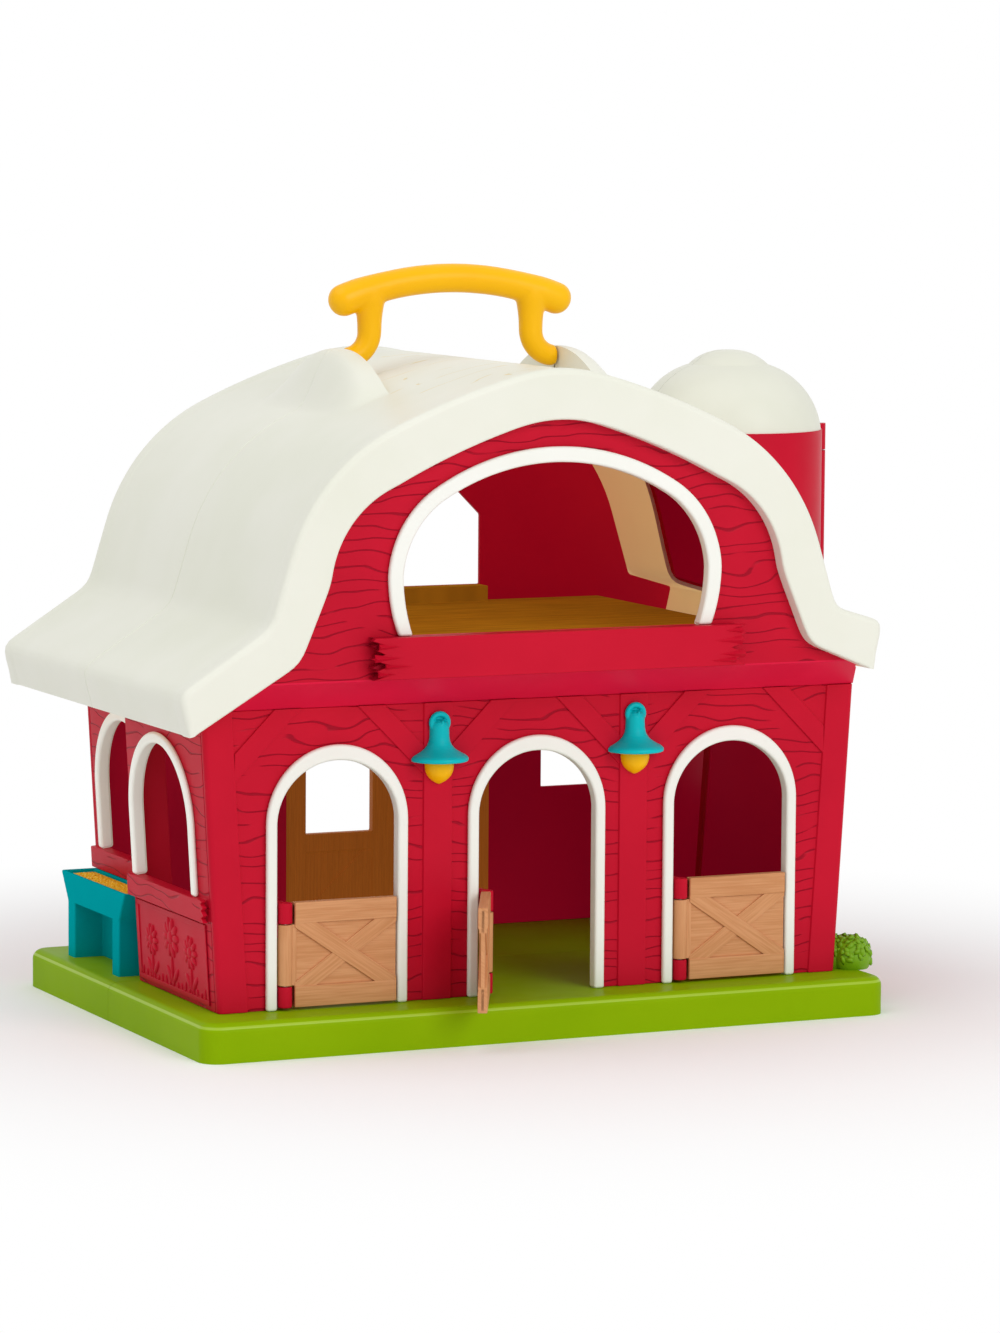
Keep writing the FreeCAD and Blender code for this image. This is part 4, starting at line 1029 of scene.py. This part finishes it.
# bead where the silo stands out of the roof
def roofBead(half, way):
    outer = [spot for spot in roofLines()[0] if spot[0] > siloBead["roofFrom"] and spot[1] > gambrel["tipRight"][1]]
    first = math.acos((siloBead["roofEnd"] - siloAxis[0]) / siloBead["reach"])
    points = []
    for k in range(siloBead["roofSteps"] + 1):
        turn = first + (math.pi - siloBead["roofStop"] - first) * k / siloBead["roofSteps"]
        x = siloAxis[0] + siloBead["reach"] * math.cos(turn)
        y = siloAxis[1] + way * siloBead["reach"] * math.sin(turn)
        after = next((i for i in range(1, len(outer)) if outer[i][0] > x), len(outer) - 1)
        (xa, za), (xb, zb) = outer[after - 1], outer[after]
        points.append(Vector((x, y, za + (zb - za) * (x - xa) / (xb - xa) - gambrel["sunk"] / 2)))
    makeBead("silo_" + half, points, siloBead["roofRadius"])


makeRoof("front")
makeRoof("rear")
roofBead("front", -1)
roofBead("rear", 1)
plainEdge = {"dome": 0.5, "gate": 0.6, "floor": 0.5}
for nodeName in ("silo_dome_front", "silo_dome_rear"):
    softCopy(nodeName, domeCream, plainEdge["dome"])
print("stage: roof")


# carrying handle: bowed grip with round ends on two hooked legs
grip = {
    "end": (54.0, 327.7), "top": 337.5, "steps": 48, "radius": 6.75, "knob": 7.5, "knobFrom": 26.0, "knobRun": 20.0,
    "capLength": 0.94, "capStep": 11.0, "capCount": 8, "legX": 41.0, "legHeights": (331.0, 327.5, 324.0, 320.5, 317.0),
    "legRadii": (7.4, 7.2, 6.5, 6.0, 5.7), "leg": 5.6, "foot": 5.0, "footX": 53.1, "bend": 12.1, "bendSteps": 10,
    "pivot": 301.0, "axisY": 6.0, "voxel": 0.8, "passes": 7,
}


def makeHandle():
    (endX, endZ), knob, bend, steps = grip["end"], grip["knob"], grip["bend"], grip["bendSteps"]
    spine = [(-endX, endZ)] + arcPoints((-endX, endZ), (0.0, grip["top"]), (endX, endZ), grip["steps"])
    radii = []
    for x, _ in spine:
        share = min(max((abs(x) - grip["knobFrom"]) / grip["knobRun"], 0.0), 1.0)
        radii.append(grip["radius"] + (knob - grip["radius"]) * share ** 2)
    first = Vector((spine[0][0] - spine[1][0], spine[0][1] - spine[1][1])).normalized()
    capTurns = [math.radians(grip["capStep"] * k) for k in range(1, grip["capCount"] + 1)]
    caps = [(first.x * knob * grip["capLength"] * math.sin(turn), first.y * knob * grip["capLength"] * math.sin(turn))
            for turn in capTurns]
    capRadii = [knob * math.cos(turn) for turn in capTurns]
    leftCap = [(spine[0][0] + x, spine[0][1] + z) for x, z in reversed(caps)]
    rightCap = [(spine[-1][0] - x, spine[-1][1] + z) for x, z in caps]
    whole = bar(leftCap + spine + rightCap, capRadii[::-1] + radii + capRadii, grip["axisY"])
    path = [(grip["legX"], z) for z in grip["legHeights"]]
    size = list(grip["legRadii"])
    for k, turn in enumerate(quarterTurns(steps)):
        path.append((grip["footX"] - bend * math.cos(turn), grip["pivot"] + bend - bend * math.sin(turn)))
        size.append(grip["leg"] + (grip["foot"] - grip["leg"]) * k / steps)
    for side in (-1, 1):
        addShape(whole, bar([(side * x, z) for x, z in path], size, grip["axisY"]))
    bmesh.ops.recalc_face_normals(whole, faces=whole.faces)
    makePiece("handle", meltShape(whole, grip["voxel"], grip["passes"]), yellowPlastic, "handle.grip")


makeHandle()
print("stage: handle")


# half doors: railed boards with a crossed brace, streaks along each board
halfDoor = {
    "centres": {"left": -97.8, "middle": 0.0, "right": 97.8}, "open": {"left": 0.0, "middle": 116.0, "right": 0.0},
    "axis": -24.95, "left": -20.9, "right": 28.2, "low": 19.0, "high": 66.0, "plane": -92.3, "thick": 4.4,
    "panel": 1.8, "panelInset": 1.0, "panelRound": 0.3, "rail": 9.5, "railLap": 0.6, "round": 0.5, "brace": 7.4,
    "braceThin": 0.3, "braceFoot": 0.7, "braceRound": 0.35, "lap": 0.3, "tieThin": 1.4, "tieLap": 1.0,
    "barrel": 3.25, "barrelLow": 28.8, "barrelHigh": 56.2, "barrelRim": 0.5, "barrelEase": 0.15, "barrelSides": 40,
    "streakStart": {"panel": 0.13, "braces": (0.31, 0.57), "rails": (0.71, 0.93), "tie": 1.13},
    "streakDepth": 0.7, "streakShift": 0.37,
}


def clipped(points, x0, x1, z0, z1):
    for axis, limit, way in ((0, x0, 1), (0, x1, -1), (1, z0, 1), (1, z1, -1)):
        kept = []
        for a, b in zip(points, points[1:] + points[:1]):
            insideA, insideB = way * (a[axis] - limit) >= 0, way * (b[axis] - limit) >= 0
            if insideA:
                kept.append(a)
            if insideA != insideB:
                kept.append(between(a, b, (limit - a[axis]) / (b[axis] - a[axis])))
        points = kept
    return points


def boxPoints(x0, z0, x1, z1):
    return [(x0, z0), (x1, z0), (x1, z1), (x0, z1)]


# outline of a slanting board that runs on past both its ends
def slantPoints(a, b, width, past=0.2):
    dx, dz = b[0] - a[0], b[1] - a[1]
    length = math.hypot(dx, dz)
    nx, nz = -dz / length * width / 2, dx / length * width / 2
    ex, ez = dx * past, dz * past
    return [(a[0] - ex + nx, a[1] - ez + nz), (a[0] - ex - nx, a[1] - ez - nz), (b[0] + ex - nx, b[1] + ez - nz),
            (b[0] + ex + nx, b[1] + ez + nz)]


# streaks follow a shape's own UV map, in metres
def mapBoard(shape, rule):
    layer = shape.loops.layers.uv.new("boardUV")
    for face in shape.faces:
        for corner in face.loops:
            corner[layer].uv = rule(corner.vert.co)


# board with its map along its run
def addBoard(target, points, thick, along, shift, edge):
    half = thick / 2
    shape = prism(points, halfDoor["plane"] - half, halfDoor["plane"] + half)
    roundEdges(shape, sharpEdges(shape), edge)
    run = Vector((along[0], 0.0, along[1])).normalized()
    across = Vector((-run.z, 0.0, run.x))
    deep, side = halfDoor["streakDepth"], shift * halfDoor["streakShift"]
    mapBoard(shape, lambda co: (co.dot(run) + shift, co.dot(across) + co.y * deep + side))
    addShape(target, shape)


def addBarrel(target, axis):
    low, radius, tall = halfDoor["barrelLow"], halfDoor["barrel"], halfDoor["barrelHigh"] - halfDoor["barrelLow"]
    rim, ease = halfDoor["barrelRim"], halfDoor["barrelEase"]
    profile = [(0.0, 0.0), (radius - rim, 0.0), (radius - ease, ease), (radius, rim), (radius, tall - rim),
               (radius - ease, tall - ease), (radius - rim, tall), (0.0, tall)]
    barrel = lathe(profile, (axis, halfDoor["plane"], low), halfDoor["barrelSides"])
    mapBoard(barrel, lambda co: (co.z, co.x + co.y))
    addShape(target, barrel)


def makeDoor(side):
    values, centre = halfDoor, halfDoor["centres"][side]
    x0, x1, z0, z1 = centre + values["left"], centre + values["right"], values["low"], values["high"]
    axis, rail, thick, inset = centre + values["axis"], values["rail"], values["thick"], values["panelInset"]
    starts = values["streakStart"]
    whole = bmesh.new()
    whole.loops.layers.uv.new("boardUV")
    panel = clipped(boxPoints(x0, z0, x1, z1), x0, x1, z0 + inset, z1 - inset)
    addBoard(whole, panel, values["panel"], (1, 0), starts["panel"], values["panelRound"])
    inner = (z0 + rail - values["railLap"], z1 - rail + values["railLap"])
    low, high = z0 + rail * values["braceFoot"], z1 - rail * values["braceFoot"]
    slants = (((x0, low), (x1, high), values["lap"]), ((x0, high), (x1, low), 0.0))
    for (a, b, drop), shift in zip(slants, starts["braces"]):
        brace = clipped(slantPoints(a, b, values["brace"]), x0, x1, *inner)
        addBoard(whole, brace, thick - 2 * drop - values["braceThin"], (b[0] - a[0], b[1] - a[1]), shift,
                 values["braceRound"])
    for bottom, shift in zip((z0, z1 - rail), starts["rails"]):
        addBoard(whole, boxPoints(x0, bottom, x1, bottom + rail), thick, (1, 0), shift, values["round"])
    tie = boxPoints(axis, values["barrelLow"], x0 + values["tieLap"], values["barrelHigh"])
    addBoard(whole, tie, thick - values["tieThin"], (0, 1), starts["tie"], values["panelRound"])
    addBarrel(whole, axis)
    turnAbout(whole, (axis, values["plane"], 0.0), -values["open"][side], "Z")
    makePiece("door_" + side, whole, doorWood)


for side in halfDoor["centres"]:
    makeDoor(side)
print("stage: doors")


# wall lamps: bell shade with a hanging eye, acorn bulb; profiles are (radius, height)
wallLamp = {
    "shade": ((0.0, 1.2), (7.0, 1.2), (7.8, 0.8), (10.6, 0.3), (12.4, 0.0), (13.2, 0.35), (13.4, 1.1), (13.2, 1.9),
              (12.2, 2.8), (10.4, 3.7), (8.6, 4.7), (7.0, 5.9), (5.8, 7.3), (5.0, 9.0), (4.65, 11.0), (4.55, 13.5),
              (4.5, 16.0), (3.9, 17.6), (2.4, 18.6), (0.0, 18.9)),
    "bulb": ((0.0, 11.2), (6.3, 11.2), (6.65, 10.6), (6.75, 9.2), (6.7, 7.6), (6.4, 5.9), (5.7, 4.2), (4.5, 2.7),
             (3.1, 1.5), (1.6, 0.6), (0.6, 0.12), (0.0, 0.0)),
    "shadeSides": 64, "bulbSides": 48, "stand": 0.5, "eye": 4.0, "bar": 1.25, "eyeSides": 40, "barSides": 16,
    "disc": 4.2, "discSides": 32, "floor": 0.5, "ridge": 0.9, "ridgeFoot": 12.0, "ridgeTop": (0.9, 1.5),
    "ridgeDepth": (4.9, 0.2), "voxel": 0.28, "passes": 3,
}


def cutAtWall(shape, wallY):
    geometry = shape.verts[:] + shape.edges[:] + shape.faces[:]
    cut = bmesh.ops.bisect_plane(shape, geom=geometry, plane_co=(0, wallY * mm, 0), plane_no=(0, 1, 0),
                                 clear_outer=True)
    rim = [each for each in cut["geom_cut"] if isinstance(each, bmesh.types.BMEdge)]
    bmesh.ops.contextual_create(shape, geom=rim)
    return shape


def eyeRing(x, wallY, z):
    loops, deep, radius = [], Vector((0, 1, 0)), wallLamp["bar"]
    for turn in turns(wallLamp["eyeSides"]):
        out = Vector((math.cos(turn), 0.0, math.sin(turn)))
        spot = Vector((x, wallY - radius, z)) + out * wallLamp["eye"]
        loops.append(ringPoints(spot, out, deep, radius, wallLamp["barSides"]))
    return loft(loops, True)


def makeLamp(side):
    low, high = (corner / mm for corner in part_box("lamp_shade_" + side))
    x, wallY, standY = (low.x + high.x) / 2, high.y, high.y - wallLamp["stand"]
    shape = cutAtWall(lathe(wallLamp["shade"], (x, standY, low.z), wallLamp["shadeSides"]), wallY)
    eyeZ = high.z - wallLamp["eye"] - wallLamp["bar"]
    addShape(shape, eyeRing(x, wallY, eyeZ))
    disc = roundPoints(x, eyeZ, wallLamp["disc"], wallLamp["discSides"])
    addShape(shape, prism(disc, wallY - wallLamp["floor"], wallY))
    half, foot = wallLamp["ridge"] / 2, low.z + wallLamp["ridgeFoot"]
    shoulder, peak = (eyeZ + rise for rise in wallLamp["ridgeTop"])
    ridge = [(x - half, foot), (x + half, foot), (x + half, shoulder), (x, peak), (x - half, shoulder)]
    addShape(shape, prism(ridge, *(wallY - depth for depth in wallLamp["ridgeDepth"])))
    shape = meltShape(shape, wallLamp["voxel"], wallLamp["passes"])
    makePiece("lamp_shade_" + side, shape, lampTeal)
    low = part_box("lamp_bulb_" + side)[0] / mm
    bulb = cutAtWall(lathe(wallLamp["bulb"], (x, standY, low.z), wallLamp["bulbSides"]), wallY)
    makePiece("lamp_bulb_" + side, bulb, yellowPlastic)


for side in ("left", "right"):
    makeLamp(side)
print("stage: lamps")


# trees of Geometry Nodes
def geometryTree(name, labels):
    tree = bpy.data.node_groups.new(name, "GeometryNodeTree")
    tree.interface.new_socket(name="Geometry", in_out="INPUT", socket_type="NodeSocketGeometry")
    keys = {label: tree.interface.new_socket(name=label, in_out="INPUT", socket_type="NodeSocketFloat").identifier
            for label in labels}
    tree.interface.new_socket(name="Geometry", in_out="OUTPUT", socket_type="NodeSocketGeometry")
    return tree, keys, tree.nodes.new("NodeGroupInput").outputs, tree.nodes.new("NodeGroupOutput").inputs["Geometry"]


# instances become real and take their material
def endTree(tree, geometry, material, result):
    real = addNode(tree, "GeometryNodeRealizeInstances", Geometry=geometry)
    tinted = addNode(tree, "GeometryNodeSetMaterial", Geometry=real.outputs["Geometry"], Material=material)
    plug(tree, result, tinted.outputs["Geometry"])


def randomSpread(tree, low, high, seed):
    made = tree.nodes.new("FunctionNodeRandomValue")
    vector = isinstance(low, tuple)
    made.data_type = "FLOAT_VECTOR" if vector else "FLOAT"
    made.inputs[0 if vector else 2].default_value = low
    made.inputs[1 if vector else 3].default_value = high
    made.inputs["Seed"].default_value = seed
    return made.outputs[0 if vector else 1]


# small lumps strewn over the upper side of a surface: grains of feed, leaves of the bush
strewn = {"upper": -0.2, "turn": 6.28, "sizes": (0.7, 1.2)}


def strewnTree(name, material, style):
    tree, keys, given, result = geometryTree(name, style["inputs"])
    seed, tilt = style["seed"], style["tilt"]
    way = splitVector(tree, tree.nodes.new("GeometryNodeInputNormal").outputs["Normal"])
    upper = addNode(tree, "FunctionNodeCompare", {"operation": "GREATER_THAN"}, A=way["Z"], B=strewn["upper"])
    spread = addNode(tree, "GeometryNodeDistributePointsOnFaces", {"distribute_method": "RANDOM"},
                     Mesh=given["Geometry"], Selection=upper.outputs["Result"], Density=given["Density"], Seed=seed)
    ball = addNode(tree, "GeometryNodeMeshIcoSphere", Radius=given["Size"], Subdivisions=1)
    lump = addNode(tree, "GeometryNodeTransform", Geometry=ball.outputs["Mesh"], Scale=style["lump"])
    smooth = addNode(tree, "GeometryNodeSetShadeSmooth", Geometry=lump.outputs["Geometry"])
    turn = randomSpread(tree, (-tilt, -tilt, 0.0), (tilt, tilt, strewn["turn"]), seed + 1)
    turned = addNode(tree, "FunctionNodeRotateRotation", {"rotation_space": "LOCAL"},
                     Rotation=spread.outputs["Rotation"], Rotate_By=turn)
    placed = addNode(tree, "GeometryNodeInstanceOnPoints", Points=spread.outputs["Points"],
                     Instance=smooth.outputs["Geometry"], Rotation=turned.outputs["Rotation"],
                     Scale=randomSpread(tree, *strewn["sizes"], seed + 2))
    both = addNode(tree, "GeometryNodeJoinGeometry", Geometry=placed.outputs["Instances"])
    plug(tree, both.inputs["Geometry"], given["Geometry"])
    endTree(tree, both.outputs["Geometry"], material, result)
    return tree, keys


def grownPiece(name, shape, tree, keys, values):
    piece = shapeObject(name, shape)
    grow = piece.modifiers.new("grow", "NODES")
    grow.node_group = tree
    for label, value in values.items():
        grow[keys[label]] = value
    return bakePiece(piece)


# feed trough: its sole stays sharp
troughEdge = {"round": 0.9, "segments": 3, "sole": 18.2}


def makeTrough():
    shape = nodeShape("trough")
    edges = [edge for edge in freeEdges(shape) if max(vert.co.z for vert in edge.verts) > troughEdge["sole"] * mm]
    roundEdges(shape, edges, troughEdge["round"], troughEdge["segments"])
    makePiece("trough", shape, tealPlastic, "trough.body")


makeTrough()

# feed heaped in the trough
feedGrains = {"inputs": {"Density": 700000.0, "Size": 0.00085}, "lump": (1.0, 1.35, 0.8), "seed": 4, "tilt": 0.7}
feedHeap = {"inset": 1.4, "edge": 0.4, "rise": 1.6, "across": 8, "along": 36, "thick": 1.6}


def makeFeed():
    low, high = (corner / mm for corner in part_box("trough_feed"))
    across, along, inset = feedHeap["across"], feedHeap["along"], feedHeap["inset"]
    heap = bmesh.new()
    top, sole = [], []
    for i in range(across + 1):
        for j in range(along + 1):
            u, v = i / across, j / along
            swell = (1 - (2 * u - 1) ** 2) * (1 - (2 * v - 1) ** 4)
            x = low.x + inset + u * (high.x - low.x - 2 * inset)
            y = low.y + inset + v * (high.y - low.y - 2 * inset)
            top.append(heap.verts.new(Vector((x, y, high.z - feedHeap["edge"] + feedHeap["rise"] * swell)) * mm))
            sole.append(heap.verts.new(Vector((x, y, high.z - feedHeap["thick"])) * mm))
    wide = along + 1
    for i in range(across):
        for j in range(along):
            corners = (i * wide + j, (i + 1) * wide + j, (i + 1) * wide + j + 1, i * wide + j + 1)
            heap.faces.new([top[k] for k in corners])
            heap.faces.new([sole[k] for k in reversed(corners)])
    rim = [i * wide for i in range(across)] + [across * wide + j for j in range(along)]
    rim += [i * wide + along for i in range(across, 0, -1)] + list(range(along, 0, -1))
    for k, n in zip(rim, rim[1:] + rim[:1]):
        heap.faces.new((top[k], sole[k], sole[n], top[n]))
    bmesh.ops.recalc_face_normals(heap, faces=heap.faces)
    tree, keys = strewnTree("feedGrains", feedYellow, feedGrains)
    piece = grownPiece("trough.grains", heap, tree, keys, feedGrains["inputs"])
    seat(piece, "trough_feed", True)


makeFeed()
dress("trough_feed", feedYellow)

# leafy bush on the tray
bushLeaves = {"inputs": {"Density": 115000.0, "Size": 0.0021}, "lump": (0.75, 1.25, 0.42), "seed": 11, "tilt": 0.55}


def makeBush():
    tree, keys = strewnTree("bushLeaves", leafGreen, bushLeaves)
    seat(grownPiece("bush.leaves", nodeShape("bush"), tree, keys, bushLeaves["inputs"]), "bush")


makeBush()

# plate screws with a cross recess, in metres
screw = {"inputs": {"Head": 0.0028, "Height": 0.0013, "Shank": 0.0013, "Length": 0.0105}, "seat": 0.00075,
         "recess": ((0.0034, 0.0008, 0.0011), (0.0008, 0.0034, 0.0011)), "recessZ": -0.00065, "shankZ": 0.0055,
         "headSides": 28, "shankSides": 20, "turn": 1.5, "seed": 5}


def screwTree():
    tree, keys, given, result = geometryTree("plateScrews", screw["inputs"])
    head = addNode(tree, "GeometryNodeMeshCylinder", Vertices=screw["headSides"], Radius=given["Head"],
                   Depth=given["Height"])
    recess = addNode(tree, "GeometryNodeMeshBoolean", {"operation": "DIFFERENCE"}, Mesh_1=head.outputs["Mesh"])
    for size in screw["recess"]:
        cube = addNode(tree, "GeometryNodeMeshCube", Size=size)
        sunk = addNode(tree, "GeometryNodeTransform", Geometry=cube.outputs["Mesh"],
                       Translation=(0, 0, screw["recessZ"]))
        plug(tree, recess.inputs["Mesh 2"], sunk.outputs["Geometry"])
    shank = addNode(tree, "GeometryNodeMeshCylinder", Vertices=screw["shankSides"], Radius=given["Shank"],
                    Depth=given["Length"])
    lifted = addNode(tree, "GeometryNodeTransform", Geometry=shank.outputs["Mesh"],
                     Translation=(0, 0, screw["shankZ"]))
    both = addNode(tree, "GeometryNodeJoinGeometry", Geometry=recess.outputs["Mesh"])
    plug(tree, both.inputs["Geometry"], lifted.outputs["Geometry"])
    placed = addNode(tree, "GeometryNodeInstanceOnPoints", Points=given["Geometry"], Instance=both.outputs["Geometry"],
                     Rotation=randomSpread(tree, (0.0, 0.0, 0.0), (0.0, 0.0, screw["turn"]), screw["seed"]))
    endTree(tree, placed.outputs["Instances"], pinSteel, result)
    return tree, keys


# middles of a node's separate solids, seen from above
def solidMiddles(nodeName):
    shape = nodeShape(nodeName)
    waiting, middles = set(shape.verts), []
    while waiting:
        group, edge = [], [waiting.pop()]
        while edge:
            vert = edge.pop()
            group.append(vert.co.copy())
            others = {link.other_vert(vert) for link in vert.link_edges} & waiting
            waiting -= others
            edge.extend(others)
        middles.append(tuple((min(co[i] for co in group) + max(co[i] for co in group)) / 2 for i in (0, 1)))
    shape.free()
    return sorted(middles)


def makeScrews():
    tree, keys = screwTree()
    for nodeName in ("base_screws_front", "base_screws_rear"):
        spots = bmesh.new()
        for x, y in solidMiddles(nodeName):
            spots.verts.new((x, y, screw["seat"]))
        piece = grownPiece(nodeName.replace("_", "."), spots, tree, keys, screw["inputs"])
        seat(piece, nodeName)


makeScrews()
print("stage: feed, bush and screws")


# tray halves: a painted highlight, a lighter line, runs along the rounded rim
trayHighlightBand = {"low": 0.4, "high": 0.7, "above": 12.0}


def makeTray(nodeName):
    shape = nodeShape(nodeName, flat=0.0)
    shape.normal_update()
    for face in shape.faces:
        above = face.calc_center_median().z > trayHighlightBand["above"] * mm
        face.material_index = 1 if above and trayHighlightBand["low"] < face.normal.z < trayHighlightBand["high"] else 0
    makePiece(nodeName, shape, [grassGreen, grassPaintedHighlight])


for nodeName in ("base_front", "base_rear"):
    makeTray(nodeName)
softCopy("rear_gate", gateWood, plainEdge["gate"])

# slanting braces in the gate's lower panels, on both sides
gateBrace = {"panels": ((-35.8, -1.0, 1), (17.0, 51.8, -1)), "low": 26.7, "high": 58.7, "width": 6.0, "round": 0.25,
             "sides": ((92.4, 93.4), (95.5, 96.6))}


def makeGateBraces():
    braces = bmesh.new()
    low, high = gateBrace["low"], gateBrace["high"]
    for x0, x1, way in gateBrace["panels"]:
        ends = ((x0, low), (x1, high)) if way > 0 else ((x0, high), (x1, low))
        slant = clipped(slantPoints(*ends, gateBrace["width"]), x0, x1, low, high)
        for near, far in gateBrace["sides"]:
            addRounded(braces, slant, near, far, gateBrace["round"])
    makePiece("rear_gate", braces, gateWood, "rear.gate.braces", True)


makeGateBraces()
for nodeName in ("loft_floor_front", "loft_floor_rear"):
    softCopy(nodeName, loftWood, plainEdge["floor"])

# relief panel on the left wall, and the split end of the sill above it; flowers are (y, z, radius)
relief = {
    "y0": -82.5, "y1": 3.0, "z0": 20.0, "z1": 56.6, "frame": 2.4, "frameRound": 0.3, "proud": 0.8, "plate": 0.3,
    "root": 0.2, "flowers": ((-62.0, 41.0, 8.0), (-38.5, 44.5, 9.5), (-14.0, 40.0, 7.5)), "petals": 10,
    "petalRing": 0.62, "petal": (0.78, 0.4), "heart": 0.72, "heartSwell": 1.25, "swell": 1.1, "stem": 2.2,
    "stemLap": 4.0, "leaf": (9.0, 3.4), "leafSpot": (4.2, 5.2), "leafTurn": 0.75, "lowSwell": 0.8,
    "blades": 17, "bladeHeight": 6.0, "bladeWidth": 1.7, "bladeInset": 2.0, "bladeSwell": 0.6,
    "bladeVary": (0.7, 0.3, 2.4), "bladeLift": 0.3, "bladeLean": (0.25, 1.7), "domeSides": (14, 8),
}
sillEnd = {"skin": (-157.4, -155.4),
           "points": ((-84.0, 58.2), (-87.9, 58.5), (-85.3, 60.3), (-88.3, 61.9), (-85.6, 63.7), (-88.0, 65.2),
                      (-85.2, 66.7), (-87.6, 68.2), (-84.0, 68.2))}


# low dome lying on the wall: place along Y and Z, turned in the wall's plane; swell is a share of the relief's
def addDome(target, y, z, turn, length, width, swell=1.0):
    dome = bmesh.new()
    around, up = relief["domeSides"]
    bmesh.ops.create_uvsphere(dome, u_segments=around, v_segments=up, radius=1.0)
    size = Matrix.Diagonal((relief["swell"] * swell * mm, length / 2 * mm, width / 2 * mm, 1.0))
    place = Matrix.Translation(Vector((-wallFoot["x"] - relief["plate"], y, z)) * mm)
    bmesh.ops.transform(dome, matrix=place @ Matrix.Rotation(turn, 4, "X") @ size, verts=dome.verts)
    addShape(target, dome)


def addFlower(target, y, z, radius, foot):
    ring, upright = relief["petalRing"] * radius, math.pi / 2
    for turn in turns(relief["petals"]):
        addDome(target, y + ring * math.cos(turn), z + ring * math.sin(turn), turn,
                *(radius * share for share in relief["petal"]))
    heart = radius * relief["heart"]
    addDome(target, y, z, 0.0, heart, heart, relief["heartSwell"])
    addDome(target, y, (z - radius + foot) / 2, upright, z - radius - foot + relief["stemLap"], relief["stem"],
            relief["lowSwell"])
    out, up = relief["leafSpot"]
    for side in (-1, 1):
        addDome(target, y + side * out, foot + up, upright - side * relief["leafTurn"], *relief["leaf"],
                relief["lowSwell"])


def makeRelief():
    y0, y1, z0, z1, wide = (relief[key] for key in ("y0", "y1", "z0", "z1", "frame"))
    face = -wallFoot["x"]
    root = face + relief["root"]
    whole = bmesh.new()
    addShape(whole, prism(boxPoints(y0, z0, y1, z1), face - relief["plate"], root, "X"))
    for strip in ((y0, z0, y1, z0 + wide), (y0, z1 - wide, y1, z1), (y0, z0 + wide, y0 + wide, z1 - wide),
                  (y1 - wide, z0 + wide, y1, z1 - wide)):
        addRounded(whole, boxPoints(*strip), face - relief["proud"], root, relief["frameRound"], "X")
    for flower in relief["flowers"]:
        addFlower(whole, *flower, z0 + wide)
    step = (y1 - y0 - 2 * wide - 2 * relief["bladeInset"]) / (relief["blades"] - 1)
    (least, vary, pace), (lean, leanPace) = relief["bladeVary"], relief["bladeLean"]
    for k in range(relief["blades"]):
        tall = relief["bladeHeight"] * (least + vary * math.cos(pace * k))
        addDome(whole, y0 + wide + relief["bladeInset"] + k * step, z0 + wide + tall * relief["bladeLift"],
                math.pi / 2 + lean * math.sin(leanPace * k), tall, relief["bladeWidth"], relief["bladeSwell"])
    addShape(whole, prism(sillEnd["points"], *sillEnd["skin"], "X"))
    turnAbout(whole, (face, 0.0, wallFoot["z"]), -wallFoot["lean"], "Y")
    makePiece("wall_left_front", whole, barnRed, "wall.left.relief", True)


makeRelief()
print("stage: tray, floors and relief")

for nodeName in ("base_plate_front", "base_plate_rear"):
    dress(nodeName, grassGreen)
for nodeName in ("door_pins", "handle_pins", "hinge_pin"):
    dress(nodeName, pinSteel)
